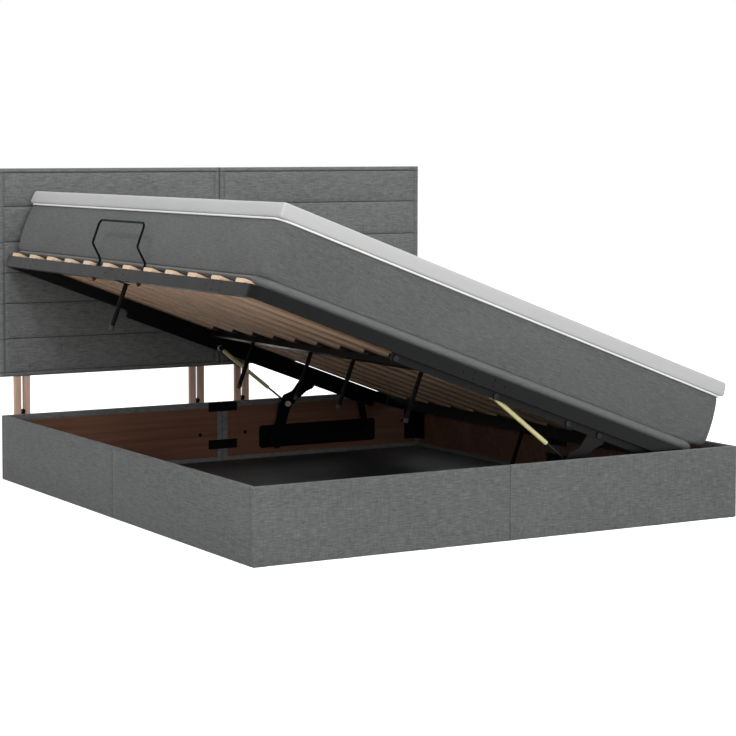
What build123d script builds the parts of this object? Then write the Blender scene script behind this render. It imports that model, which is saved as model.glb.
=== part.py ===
from build123d import *
import math
import os

# Ottoman storage bed whose mattress platform swings up from its left long side.
# Millimetres. +X points to the hinge side, +Y to the headboard, +Z up.
# The origin is on the floor, under the centre of the base box.
# The platform pieces are drawn closed, lying in the base, and then raised to the open stop.

# Base box
BASE_WIDTH = 1830.0
BASE_LENGTH = 2030.0
BASE_HEIGHT = 241.0
BOARD_THICKNESS = 15.0
COVER_THICKNESS = 1.5
COVER_FOLD = 22.0
COVER_ROUND = 3.0
GLIDE_HEIGHT = 4.0
GLIDE_SIZE = 44.0
GLIDE_INSET = 6.0
GLIDE_SPACING = 400.0
FLOOR_BOARD_THICKNESS = 4.0
FLOOR_BOARD_GAP = 0.5

# Steel fittings inside the base
PLATE_WIDTH = 124.0
PLATE_HEIGHT = 36.0
PLATE_THICKNESS = 2.5
PLATE_DROP = 1.0
LOW_PLATE_BOTTOM = 56.0
SIDE_PLATE_BOTTOM = 126.0
PLATE_ROUND = 3.0
CORNER_LEG = 60.0
CORNER_BOTTOM = 40.0
CORNER_TOP = 165.0
SCREW_HEAD_RADIUS = 6.0
SCREW_HEAD_HEIGHT = 2.0
SCREW_INSET = 17.0

# Headboard
HEADBOARD_BOTTOM = 383.0
HEADBOARD_TOP = 1161.0
HEADBOARD_FRONT_STEP = 4.0
PAD_DEPTH = 32.0
BACK_BOARD_THICKNESS = 18.0
HEADBOARD_GAP = 2.0
HEADBOARD_ROUND = 6.0
CHANNEL_CROWN = 5.0
CHANNEL_SEAMS = [525.0, 657.0, 772.0, 887.0, 1019.0]
TOP_BORDER = 16.0
SIDE_BORDER = 27.0
SEAM_GAP = 1.5
SEAM_DEPTH = 1.0
BACK_BOARD_INSET = 2.0
HB_LEG_WIDTH = 62.0
HB_LEG_THICKNESS = 18.0
HB_LEG_BOTTOM = 40.0
HB_LEG_TOP = 730.0
HB_LEG_EDGE_OFFSET = 88.0
HB_LEG_MIDDLE_OFFSET = 99.0
HB_LEG_ROUND = 3.0
SLOT_WIDTH = 11.0
SLOT_RISE = 5.0
SLOT_LENGTH = 350.0
LOW_SLOT_BOTTOM = 110.0
LOW_SLOT_LENGTH = 90.0
STRAP_WIDTH = 12.0
STRAP_THICKNESS = 5.0
STRAP_MARGIN = 7.5
HB_BOLT_RADIUS = 4.0
HB_BOLT_HEAD_RADIUS = 6.5
HB_BOLT_HEAD = 4.5
HB_NUT_HEIGHT = 6.5
BOLT_HOLE_CLEARANCE = 0.1
POCKET_CLEARANCE = 0.3

# Platform frame, closed
FRAME_SIDE_GAP = 8.0
FRAME_END_GAP = 5.0
RAIL_WIDTH = 20.0
RAIL_HEIGHT = 40.0
RAIL_WALL = 2.0
RAIL_CORNER = 32.0
FOOT_CLEARANCE = 0.3
LEG_LENGTH = 161.7
LEG_RADIUS = 7.5
LEG_WALL = 1.5
CAP_RADIUS = 8.3
CAP_HEIGHT = 14.0
CAP_FLOOR = 2.5
CAP_CLEARANCE = 0.05
SIDE_LEG_OFFSET = -32.0
SIDE_LEG_INSET = 39.0
GUSSET_THICKNESS = 3.0
GUSSET_WIDTH = 30.0
CENTRE_LEG_SHARES = [-0.603, -0.153, 0.153, 0.603]
BEAM_WIDTH = 40.0
BEAM_HEIGHT = 20.0
HOLE_RADIUS = 2.5
HOLE_RISE = 11.0
SIDE_HOLES_OUTER = 71.0
SIDE_HOLES_INNER = 26.5
END_HOLES_OUTER = 82.0
END_HOLES_INNER = 40.5
HOLE_GROUP_SHARE = 0.763
END_HOLE_OFFSET = -16.0

# Slats and their holders
SLAT_COUNT = 12
SLAT_WIDTH = 58.0
SLAT_THICKNESS = 13.0
SLAT_END_SPACE = 90.0
SLAT_OVERHANG = 2.0
SLAT_ROUND = 3.0
HOLDER_WALL = 1.8
HOLDER_LENGTH = 43.0
HOLDER_WEB = 4.0
HOLDER_SCALLOP_SHARE = 0.36

# Mattress retainer bar on the lifted side
BAR_RADIUS = 3.8
BAR_NEAR_SPACE = 27.0
BAR_FAR_SPACE = 45.0
BAR_TAIL = 11.0
BAR_KNEE_RISE = 27.0
BAR_JOG_OUT = 46.0
BAR_JOG_RISE = 69.0
BAR_TOP_RISE = 152.0
BAR_KNEE_RADIUS = 15.0
BAR_CORNER_RADIUS = 20.0
BAR_HOLE_CLEARANCE = 0.1
NUT_FLATS = 15.0
NUT_HEIGHT = 6.5
NUT_CLEARANCE = 0.05

# Mattress, piping and topper
MATTRESS_LEFT_INSET = 43.5
MATTRESS_RIGHT_OVERHANG = 17.5
MATTRESS_END_INSET = 33.0
MATTRESS_HEIGHT = 198.0
MATTRESS_CORNER = 46.0
MATTRESS_BOTTOM_ROUND = 14.0
MATTRESS_TOP_ROUND = 9.0
MATTRESS_DRAWN_IN = 6.0
MATTRESS_RIM_GAP = 24.5
PIPING_RADIUS = 3.5
SOFT_GAP = 0.3
TOPPER_HEIGHT = 50.0
TOPPER_TOP_ROUND = 10.0
TOPPER_BOTTOM_ROUND = 7.0
TOPPER_CROWN = 4.0

# Lift mechanism: a fixed bracket, two arms, an angle bar and a gas strut at each end
TILT = 20.5
ARM_SWING = 40.0
PIVOT_DROP = 15.0
BASE_PIVOT_SHARE = 0.2404
BASE_PIVOT_Z = 75.4
PLATFORM_PIVOT_SHARE = 0.53
LINK_TOP_SHARE = 0.8087
LINK_PIVOT_DROP = 90.0
STRUT_TOP_SHARE = 0.0601
SPARE_BOLT_SHARE = 0.3847
END_BOLT_SHARE = -0.3705
ANGLE_START_SHARE = -0.3913
ANGLE_END_SHARE = 0.882
ANGLE_DEPTH = 26.0
ANGLE_THICKNESS = 3.0
ANGLE_ROUND = 8.0
ARM_THICKNESS = 5.0
ARM_GAP = 0.8
STRUT_PIN_ALONG = 148.9
STRUT_PIN_ASIDE = 40.4
LINK_RADIUS = 13.0
PIVOT_RADIUS = 5.0
PIVOT_CLEARANCE = 0.05
PIVOT_HEAD_RADIUS = 9.5
PIVOT_HEAD = 4.0
PIVOT_NUT = 4.5
PIVOT_PLAY = 0.5
STUD_GAP = 0.3
BRACKET_THICKNESS = 4.0
BRACKET_BOTTOM = 46.0
BRACKET_TOP = 136.0
BRACKET_OVERHANG = 58.0
BRACKET_ROUND = 14.0
BOSS_RADIUS = 12.0
STRUT_SPACER = 14.5
SPACER_RADIUS = 7.5
STRUT_RADIUS = 7.6
STRUT_WALL = 2.0
STRUT_LENGTH = 249.0
STRUT_END_WALL = 6.0
EYE_RADIUS = 11.0
EYE_THICKNESS = 9.0
NECK_RADIUS = 4.0
NECK_LENGTH = 18.0
ROD_RADIUS = 4.0
ROD_INSIDE = 40.0
ROD_CLEARANCE = 0.1
PISTON_LENGTH = 12.0
OVERRUN = 2.0

# Main arm's outline, as shares of its pivot distance: along it, to its left, and corner radius
ARM_OUTLINE_SHARES = [
    (-0.087, -0.108, 0.050),
    (0.072, -0.115, 0.050),
    (0.217, -0.030, 0.150),
    (0.542, 0.061, 0.160),
    (0.849, -0.043, 0.150),
    (0.947, -0.119, 0.050),
    (1.077, -0.094, 0.050),
    (1.084, 0.101, 0.050),
    (0.947, 0.137, 0.060),
    (0.741, 0.155, 0.140),
    (0.622, 0.250, 0.060),
    (0.470, 0.238, 0.080),
    (0.253, 0.137, 0.150),
    (0.101, 0.130, 0.060),
    (-0.087, 0.108, 0.050),
]

# Mattress side, as shares of its height and of how far its edges are drawn in
MATTRESS_SIDE_SHARES = [(0.12, 0.60), (0.30, 0.15), (0.52, 0.0), (0.75, 0.20), (0.90, 0.65)]

# Places that follow from the sizes above
PANEL_THICKNESS = BOARD_THICKNESS + 2 * COVER_THICKNESS
INNER_FACE = BOARD_THICKNESS + COVER_THICKNESS
HEADBOARD_DEPTH = PAD_DEPTH + BACK_BOARD_THICKNESS
X_SIDE = BASE_WIDTH / 2
Y_HEAD = BASE_LENGTH / 2
Y_FOOT = -Y_HEAD
FLOOR_TOP = GLIDE_HEIGHT + FLOOR_BOARD_THICKNESS
MATTRESS_WIDTH = BASE_WIDTH - MATTRESS_LEFT_INSET + MATTRESS_RIGHT_OVERHANG
MATTRESS_LENGTH = BASE_LENGTH - 2 * MATTRESS_END_INSET
MATTRESS_SHIFT = (MATTRESS_LEFT_INSET + MATTRESS_RIGHT_OVERHANG) / 2
MATTRESS_RIM_STEP = MATTRESS_RIGHT_OVERHANG + PANEL_THICKNESS + MATTRESS_RIM_GAP
RAIL_BOTTOM = FLOOR_TOP + FOOT_CLEARANCE + LEG_LENGTH
RAIL_TOP = RAIL_BOTTOM + RAIL_HEIGHT
FRAME_X = X_SIDE - PANEL_THICKNESS - FRAME_SIDE_GAP
FRAME_Y = Y_HEAD - PANEL_THICKNESS - FRAME_END_GAP
SLAT_PITCH = 2 * (FRAME_Y - SLAT_END_SPACE) / (SLAT_COUNT - 1)
BEAM_TOP = RAIL_TOP - HOLDER_WALL
BEAM_BOTTOM = BEAM_TOP - BEAM_HEIGHT
SLAT_TOP = RAIL_TOP + SLAT_THICKNESS
MATTRESS_BOTTOM = SLAT_TOP + HOLDER_WALL + SOFT_GAP
MATTRESS_TOP = MATTRESS_BOTTOM + MATTRESS_HEIGHT
PIPING_INSET = MATTRESS_TOP_ROUND / 2 - (PIPING_RADIUS + SOFT_GAP) * math.sqrt(0.5)
TOPPER_BOTTOM = MATTRESS_TOP - PIPING_INSET + PIPING_RADIUS + SOFT_GAP
PIVOT_LINE = RAIL_BOTTOM - PIVOT_DROP
BASE_PIVOT_X = X_SIDE * BASE_PIVOT_SHARE
PLATFORM_PIVOT_X = X_SIDE * PLATFORM_PIVOT_SHARE
LINK_TOP_X = X_SIDE * LINK_TOP_SHARE
STRUT_TOP_X = X_SIDE * STRUT_TOP_SHARE
SPARE_BOLT_X = X_SIDE * SPARE_BOLT_SHARE
END_BOLT_X = X_SIDE * END_BOLT_SHARE
ANGLE_START_X = X_SIDE * ANGLE_START_SHARE
ANGLE_END_X = X_SIDE * ANGLE_END_SHARE
RAIL_INNER = -FRAME_Y + RAIL_WIDTH
ANGLE_OUTER = RAIL_INNER - ANGLE_THICKNESS
ARM_START = RAIL_INNER + ARM_GAP
ARM_END = ARM_START + ARM_THICKNESS
EYE_START = RAIL_INNER + STRUT_SPACER
EYE_END = EYE_START + EYE_THICKNESS
STRUT_Y = (EYE_START + EYE_END) / 2
HB_FRONT = Y_HEAD - HEADBOARD_FRONT_STEP
HB_BACK_BOARD = HB_FRONT + PAD_DEPTH
HB_LEG_FRONT = Y_HEAD + STRAP_THICKNESS
HB_LEG_BACK = HB_LEG_FRONT + HB_LEG_THICKNESS
HB_LEG_CENTRES = {
    "headboard_leg_left_outer": -X_SIDE + HB_LEG_EDGE_OFFSET,
    "headboard_leg_left_inner": -HB_LEG_MIDDLE_OFFSET,
    "headboard_leg_right_inner": HB_LEG_MIDDLE_OFFSET,
    "headboard_leg_right_outer": X_SIDE - HB_LEG_EDGE_OFFSET,
}
SLOT_BOTTOM = BASE_HEIGHT + SLOT_RISE
HB_BOLT_TOP = SLOT_BOTTOM + SLOT_WIDTH / 2
HB_BOLT_LOW = LOW_SLOT_BOTTOM + SLOT_WIDTH / 2


def turned(x, z, degrees):
    """Turn a point of the X-Z plane about the origin, by the right-hand rule about +Y."""
    angle = math.radians(degrees)
    return (x * math.cos(angle) + z * math.sin(angle), z * math.cos(angle) - x * math.sin(angle))


def swung(point, centre, degrees):
    """Turn a point of the X-Z plane about a centre, by the right-hand rule about +Y."""
    dx, dz = turned(point[0] - centre[0], point[1] - centre[1], degrees)
    return (centre[0] + dx, centre[1] + dz)


BASE_PIVOT = (BASE_PIVOT_X, BASE_PIVOT_Z)
PLATFORM_PIVOT_CLOSED = (PLATFORM_PIVOT_X, PIVOT_LINE)
PLATFORM_PIVOT = swung(PLATFORM_PIVOT_CLOSED, BASE_PIVOT, -ARM_SWING)
ARM_LENGTH = math.dist(PLATFORM_PIVOT, BASE_PIVOT)


def raised(point):
    """Where a point of the closed platform is at the open stop."""
    dx, dz = turned(point[0] - PLATFORM_PIVOT_CLOSED[0], point[1] - PLATFORM_PIVOT_CLOSED[1], TILT)
    return (PLATFORM_PIVOT[0] + dx, PLATFORM_PIVOT[1] + dz)


def link_pivots():
    """Base pivot of the second arm, equally far from its top pivot closed and open, and that pivot."""
    closed = (LINK_TOP_X, PIVOT_LINE)
    opened = raised(closed)
    span = (closed[0] - opened[0], closed[1] - opened[1])
    length = math.hypot(span[0], span[1])
    drop_x = LINK_PIVOT_DROP * span[1] / length
    drop_z = LINK_PIVOT_DROP * span[0] / length
    base = ((closed[0] + opened[0]) / 2 + drop_x, (closed[1] + opened[1]) / 2 - drop_z)
    return base, opened


def on_arm(along, aside):
    """Point of the main arm at the open stop, from its base pivot along it and to its left."""
    ux = (PLATFORM_PIVOT[0] - BASE_PIVOT[0]) / ARM_LENGTH
    uz = (PLATFORM_PIVOT[1] - BASE_PIVOT[1]) / ARM_LENGTH
    return (BASE_PIVOT[0] + along * ux - aside * uz, BASE_PIVOT[1] + along * uz + aside * ux)


LINK_BASE, LINK_TOP = link_pivots()
STRUT_TOP = raised((STRUT_TOP_X, PIVOT_LINE))
STRUT_FOOT = on_arm(STRUT_PIN_ALONG, STRUT_PIN_ASIDE)
STRUT_OPEN = math.dist(STRUT_TOP, STRUT_FOOT)


def block(x0, x1, y0, y1, z0, z1):
    """Box between two opposite corners."""
    middle = Pos((x0 + x1) / 2, (y0 + y1) / 2, (z0 + z1) / 2)
    return middle * Box(x1 - x0, y1 - y0, z1 - z0)


def bar_y(radius, point, y0, y1):
    """Round bar along Y between two depths, through a point of the X-Z plane."""
    return Pos(point[0], (y0 + y1) / 2, point[1]) * Rot(90, 0, 0) * Cylinder(radius, y1 - y0)


def bar_z(radius, x, y, z0, z1):
    """Upright round bar between two heights."""
    return Pos(x, y, (z0 + z1) / 2) * Cylinder(radius, z1 - z0)


def slot_y(x, z0, z1, width, y0, y1):
    """Upright slot with round ends, cut along Y."""
    radius = width / 2
    middle = block(x - radius, x + radius, y0, y1, z0 + radius, z1 - radius)
    return middle + bar_y(radius, (x, z0 + radius), y0, y1) + bar_y(radius, (x, z1 - radius), y0, y1)


def solids_of(shapes):
    """Every separate solid of a list of shapes."""
    return [solid for shape in shapes for solid in shape.solids()]


def moved(shapes, place):
    """The same shapes at another place."""
    return [place * shape for shape in shapes]


def both_ends(shapes):
    """The shapes at the foot end and their mirror images at the head end."""
    return shapes + at_head(shapes)


def at_head(shapes):
    """Mirror images of foot-end shapes, at the head end."""
    return [mirror(shape, about=Plane.XZ) for shape in shapes]


RAISE = Pos(PLATFORM_PIVOT[0], 0, PLATFORM_PIVOT[1]) * Rot(0, TILT, 0)
RAISE = RAISE * Pos(-PLATFORM_PIVOT_CLOSED[0], 0, -PLATFORM_PIVOT_CLOSED[1])


def panel_board(length):
    """Bare board of half a panel: length along X, outer side at Y = 0, thickness along +Y."""
    cover = COVER_THICKNESS
    return block(cover, length - cover, cover, INNER_FACE, GLIDE_HEIGHT + cover, BASE_HEIGHT - cover)


def panel_cover(length):
    """Fabric wrapped round the board and folded in along its inner edges."""
    outside = block(0, length, 0, PANEL_THICKNESS, GLIDE_HEIGHT, BASE_HEIGHT)
    outside = fillet(outside.edges(), COVER_ROUND)
    window = block(COVER_FOLD, length - COVER_FOLD, COVER_THICKNESS, PANEL_THICKNESS + OVERRUN,
                   GLIDE_HEIGHT + COVER_FOLD, BASE_HEIGHT - COVER_FOLD)
    return outside - panel_board(length) - window


def panel_places():
    """Name, place and half length of each of the eight half panels."""
    side_half = Y_HEAD - PANEL_THICKNESS
    return {
        "foot_{}_left": (Pos(-X_SIDE, Y_FOOT, 0), X_SIDE),
        "foot_{}_right": (Pos(0, Y_FOOT, 0), X_SIDE),
        "head_{}_left": (Pos(0, Y_HEAD, 0) * Rot(0, 0, 180), X_SIDE),
        "head_{}_right": (Pos(X_SIDE, Y_HEAD, 0) * Rot(0, 0, 180), X_SIDE),
        "left_{}_foot": (Pos(-X_SIDE, 0, 0) * Rot(0, 0, -90), side_half),
        "left_{}_head": (Pos(-X_SIDE, side_half, 0) * Rot(0, 0, -90), side_half),
        "right_{}_foot": (Pos(X_SIDE, -side_half, 0) * Rot(0, 0, 90), side_half),
        "right_{}_head": (Pos(X_SIDE, 0, 0) * Rot(0, 0, 90), side_half),
    }


def base_panels():
    """Boards and fabric covers of the four panels, each in two halves."""
    nodes = {}
    radius = HB_BOLT_RADIUS + BOLT_HOLE_CLEARANCE
    y0 = Y_HEAD - PANEL_THICKNESS - OVERRUN
    holes = [bar_y(radius, (x, HB_BOLT_LOW), y0, Y_HEAD + OVERRUN) for x in HB_LEG_CENTRES.values()]
    for name, (place, length) in panel_places().items():
        board = place * panel_board(length)
        cover = place * panel_cover(length)
        if name.startswith("head"):
            for hole in holes:
                board = board - hole
                cover = cover - hole
        nodes[name.format("board")] = [board]
        nodes[name.format("cover")] = [cover]
    return nodes


def screwed_plate(width, z0, height, inset):
    """Flat plate on the plane Y = 0 with a screw head at each end, facing +Y."""
    z = z0 + height / 2
    plate = block(-width / 2, width / 2, 0, PLATE_THICKNESS, z0, z0 + height)
    plate = fillet(plate.edges().filter_by(Axis.Y), PLATE_ROUND)
    top = PLATE_THICKNESS + SCREW_HEAD_HEIGHT
    screws = [bar_y(SCREW_HEAD_RADIUS, (x, z), PLATE_THICKNESS, top) for x in (inset - width / 2, width / 2 - inset)]
    return plate, screws


def joint_plates():
    """Steel plates over each panel's middle joint, two to a joint, and their screws."""
    high = BASE_HEIGHT - PLATE_DROP - PLATE_HEIGHT
    x = X_SIDE - PANEL_THICKNESS
    y = Y_HEAD - PANEL_THICKNESS
    places = [
        (Pos(0, -y, 0), high),
        (Pos(0, y, 0) * Rot(0, 0, 180), high),
        (Pos(-x, 0, 0) * Rot(0, 0, -90), SIDE_PLATE_BOTTOM),
        (Pos(x, 0, 0) * Rot(0, 0, 90), SIDE_PLATE_BOTTOM),
    ]
    plates, screws = [], []
    for place, upper in places:
        for z0 in (upper, LOW_PLATE_BOTTOM):
            plate, heads = screwed_plate(PLATE_WIDTH, z0, PLATE_HEIGHT, SCREW_INSET)
            plates.append(place * plate)
            screws += moved(heads, place)
    return plates, screws


def corner_brackets():
    """Steel angle in each inner corner of the base, and its screws."""
    x = X_SIDE - PANEL_THICKNESS
    y = Y_HEAD - PANEL_THICKNESS
    along_x = block(0, CORNER_LEG, 0, PLATE_THICKNESS, CORNER_BOTTOM, CORNER_TOP)
    along_y = block(0, PLATE_THICKNESS, 0, CORNER_LEG, CORNER_BOTTOM, CORNER_TOP)
    angle = along_x + along_y
    heads = []
    for z in (CORNER_BOTTOM + SCREW_INSET, CORNER_TOP - SCREW_INSET):
        head = bar_y(SCREW_HEAD_RADIUS, (CORNER_LEG - SCREW_INSET, z), PLATE_THICKNESS,
                     PLATE_THICKNESS + SCREW_HEAD_HEIGHT)
        heads += [head, mirror(head, about=Plane(origin=(0, 0, 0), z_dir=(1, -1, 0)))]
    angles, screws = [], []
    for place in (Pos(-x, -y, 0), Pos(x, -y, 0) * Rot(0, 0, 90), Pos(x, y, 0) * Rot(0, 0, 180),
                  Pos(-x, y, 0) * Rot(0, 0, 270)):
        angles.append(place * angle)
        screws += moved(heads, place)
    return angles, screws


def base_fittings():
    """Corner brackets, joint plates and the screws of both."""
    angles, corner_screws = corner_brackets()
    plates, plate_screws = joint_plates()
    return {
        "corner_brackets": angles,
        "panel_joint_plates": plates,
        "panel_bolts": corner_screws + plate_screws,
    }


def floor_boards():
    """Two thin boards that close the bottom of the storage space."""
    x = X_SIDE - PANEL_THICKNESS - FLOOR_BOARD_GAP
    y = Y_HEAD - PANEL_THICKNESS - FLOOR_BOARD_GAP
    middle = FLOOR_BOARD_GAP / 2
    return {
        "floor_board_foot": [block(-x, x, -y, -middle, GLIDE_HEIGHT, FLOOR_TOP)],
        "floor_board_head": [block(-x, x, middle, y, GLIDE_HEIGHT, FLOOR_TOP)],
    }


def steps_between(start, end, spacing):
    """Evenly spaced places from start to end, no wider apart than the spacing."""
    count = max(1, math.ceil((end - start) / spacing))
    return [start + (end - start) * i / count for i in range(count + 1)]


def floor_glides():
    """Flat plastic pads under the panels and under the joint of the floor boards."""
    half = GLIDE_SIZE / 2
    x_edge = X_SIDE - GLIDE_INSET - half
    y_edge = Y_HEAD - GLIDE_INSET - half
    along_x = steps_between(0, x_edge, GLIDE_SPACING)
    along_y = steps_between(0, y_edge, GLIDE_SPACING)
    places = [(x, y) for x in along_x for y in (0, y_edge)] + [(x_edge, y) for y in along_y[1:-1]]
    places = {(sx * x, sy * y) for x, y in places for sx in (1, -1) for sy in (1, -1)}
    return [block(x - half, x + half, y - half, y + half, 0, GLIDE_HEIGHT) for x, y in sorted(places)]


def channel_pad(x0, x1, z0, z1):
    """One padded channel: its crown faces -Y and its ends taper to the border."""
    front = HB_FRONT
    seam = HB_FRONT + CHANNEL_CROWN
    back = seam + SEAM_DEPTH + SEAM_DEPTH
    low, high = z0 + SEAM_GAP / 2, z1 - SEAM_GAP / 2
    left, right = x0 + SEAM_GAP / 2, x1 - SEAM_GAP / 2
    side = Polyline((x0, seam, low), (x0, back, low), (x0, back, high), (x0, seam, high))
    crown = ThreePointArc((x0, seam, high), (x0, front, (low + high) / 2), (x0, seam, low))
    body = extrude(make_face([*side.edges(), crown]), amount=x1 - x0, dir=(1, 0, 0))
    taper = CHANNEL_CROWN + CHANNEL_CROWN
    outline = Polyline((left + taper, front, 0), (right - taper, front, 0))
    into_right = ThreePointArc((right - taper, front, 0), (right - taper / 4, front + CHANNEL_CROWN / 3, 0),
                               (right, seam, 0))
    into_left = ThreePointArc((left, seam, 0), (left + taper / 4, front + CHANNEL_CROWN / 3, 0),
                              (left + taper, front, 0))
    rear = Polyline((right, seam, 0), (right, back, 0), (left, back, 0), (left, seam, 0))
    plan = make_face([*outline.edges(), into_right, *rear.edges(), into_left])
    return body & (Pos(0, 0, z0) * extrude(plan, amount=z1 - z0, dir=(0, 0, 1)))


def headboard_cushion(x0, x1):
    """Padded half of the headboard, with its channels, border and leg pockets."""
    seam = HB_FRONT + CHANNEL_CROWN
    body = block(x0, x1, seam, HB_BACK_BOARD, HEADBOARD_BOTTOM, HEADBOARD_TOP)
    body = fillet(body.edges().group_by(Axis.Y)[0], HEADBOARD_ROUND)
    groove_x = (x0 + SIDE_BORDER, x1 - SIDE_BORDER)
    groove_z = (HEADBOARD_BOTTOM + TOP_BORDER, HEADBOARD_TOP - TOP_BORDER)
    body = body - block(groove_x[0], groove_x[1], seam - OVERRUN, seam + SEAM_DEPTH, groove_z[0], groove_z[1])
    edges = [groove_z[0], *CHANNEL_SEAMS, groove_z[1]]
    pads = [channel_pad(groove_x[0], groove_x[1], low, high) for low, high in zip(edges, edges[1:])]
    body = body + pads
    gap = POCKET_CLEARANCE
    for x in HB_LEG_CENTRES.values():
        if x0 < x < x1:
            half = HB_LEG_WIDTH / 2 + gap
            body = body - block(x - half, x + half, HB_LEG_FRONT - gap, HB_LEG_BACK + gap,
                                HEADBOARD_BOTTOM - OVERRUN, HB_LEG_TOP + gap)
    return body


def headboard_leg(x):
    """Wooden leg with its two adjusting slots."""
    leg = block(x - HB_LEG_WIDTH / 2, x + HB_LEG_WIDTH / 2, HB_LEG_FRONT, HB_LEG_BACK, HB_LEG_BOTTOM, HB_LEG_TOP)
    leg = fillet(leg.edges().filter_by(Axis.Z), HB_LEG_ROUND)
    y0, y1 = HB_LEG_FRONT - OVERRUN, HB_LEG_BACK + OVERRUN
    for bottom, length in ((SLOT_BOTTOM, SLOT_LENGTH), (LOW_SLOT_BOTTOM, LOW_SLOT_LENGTH)):
        leg = leg - slot_y(x, bottom, bottom + length, SLOT_WIDTH, y0, y1)
    return leg


def headboard_strap(x):
    """Steel strap on the head panel that holds one leg."""
    bottom = HB_BOLT_LOW - STRAP_MARGIN
    top = HB_BOLT_TOP + STRAP_MARGIN
    strap = block(x - STRAP_WIDTH / 2, x + STRAP_WIDTH / 2, Y_HEAD, HB_LEG_FRONT, bottom, top)
    for z in (HB_BOLT_LOW, HB_BOLT_TOP):
        strap = strap - bar_y(HB_BOLT_RADIUS + BOLT_HOLE_CLEARANCE, (x, z), Y_HEAD - OVERRUN, HB_LEG_FRONT + OVERRUN)
    return strap


def headboard_bolts(x):
    """Upper and lower bolt of one leg, each with its head in front and its nut behind."""
    bolts = []
    for z, front in ((HB_BOLT_TOP, Y_HEAD), (HB_BOLT_LOW, Y_HEAD - PANEL_THICKNESS + COVER_THICKNESS)):
        head = bar_y(HB_BOLT_HEAD_RADIUS, (x, z), front - HB_BOLT_HEAD, front)
        shank = bar_y(HB_BOLT_RADIUS, (x, z), front, HB_LEG_BACK + HB_NUT_HEIGHT)
        nut = bar_y(HB_BOLT_HEAD_RADIUS, (x, z), HB_LEG_BACK, HB_LEG_BACK + HB_NUT_HEIGHT)
        bolts.append(head + shank + nut)
    return bolts


def headboard():
    """Two padded halves on back boards, four legs, four straps and their bolts."""
    middle = HEADBOARD_GAP / 2
    inset = BACK_BOARD_INSET
    nodes = {}
    for side, x0, x1 in (("left", -X_SIDE, -middle), ("right", middle, X_SIDE)):
        back = block(x0 + inset, x1 - inset, HB_BACK_BOARD, HB_BACK_BOARD + BACK_BOARD_THICKNESS,
                     HEADBOARD_BOTTOM + inset, HEADBOARD_TOP - inset)
        nodes["headboard_cushion_" + side] = [headboard_cushion(x0, x1)]
        nodes["headboard_back_" + side] = [fillet(back.edges().group_by(Axis.Y)[-1], inset)]
    for name, x in HB_LEG_CENTRES.items():
        nodes[name] = [headboard_leg(x)]
    nodes["headboard_straps"] = [headboard_strap(x) for x in HB_LEG_CENTRES.values()]
    nodes["headboard_bolts"] = [bolt for x in HB_LEG_CENTRES.values() for bolt in headboard_bolts(x)]
    return nodes


def rounded_slab(half_x, half_y, radius, z0, height):
    """Flat slab with rounded plan corners, centred on the frame."""
    plan = Pos(0, 0, z0) * RectangleRounded(2 * half_x, 2 * half_y, radius)
    return extrude(plan, amount=height, dir=(0, 0, 1))


def rail_holes():
    """Groups of small holes through the outer walls of the four rails."""
    z = RAIL_BOTTOM + RAIL_HEIGHT / 2
    spots = [(1, -1, 0), (1, 1, 0), (0, -1, 1), (0, 1, 1), (0, -1, -1), (0, 1, -1)]
    holes = []
    for outer, sign, rise in spots:
        height = z + rise * HOLE_RISE
        across = sign * (END_HOLES_OUTER if outer else END_HOLES_INNER) + END_HOLE_OFFSET
        for y in (-FRAME_Y, FRAME_Y):
            holes.append(bar_y(HOLE_RADIUS, (across, height), y - RAIL_WALL, y + RAIL_WALL))
        for group in (-1, 0, 1):
            y = group * HOLE_GROUP_SHARE * FRAME_Y + sign * (SIDE_HOLES_OUTER if outer else SIDE_HOLES_INNER)
            for x in (-FRAME_X, FRAME_X):
                holes.append(Pos(x, y, height) * Rot(0, 90, 0) * Cylinder(HOLE_RADIUS, 2 * RAIL_WALL))
    return holes


def bar_places():
    """Distances along the bed of the retainer bar's two legs."""
    places = slat_places()
    half = SLAT_WIDTH / 2
    return (places[4] + half + BAR_NEAR_SPACE, places[7] - half - BAR_FAR_SPACE)


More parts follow.
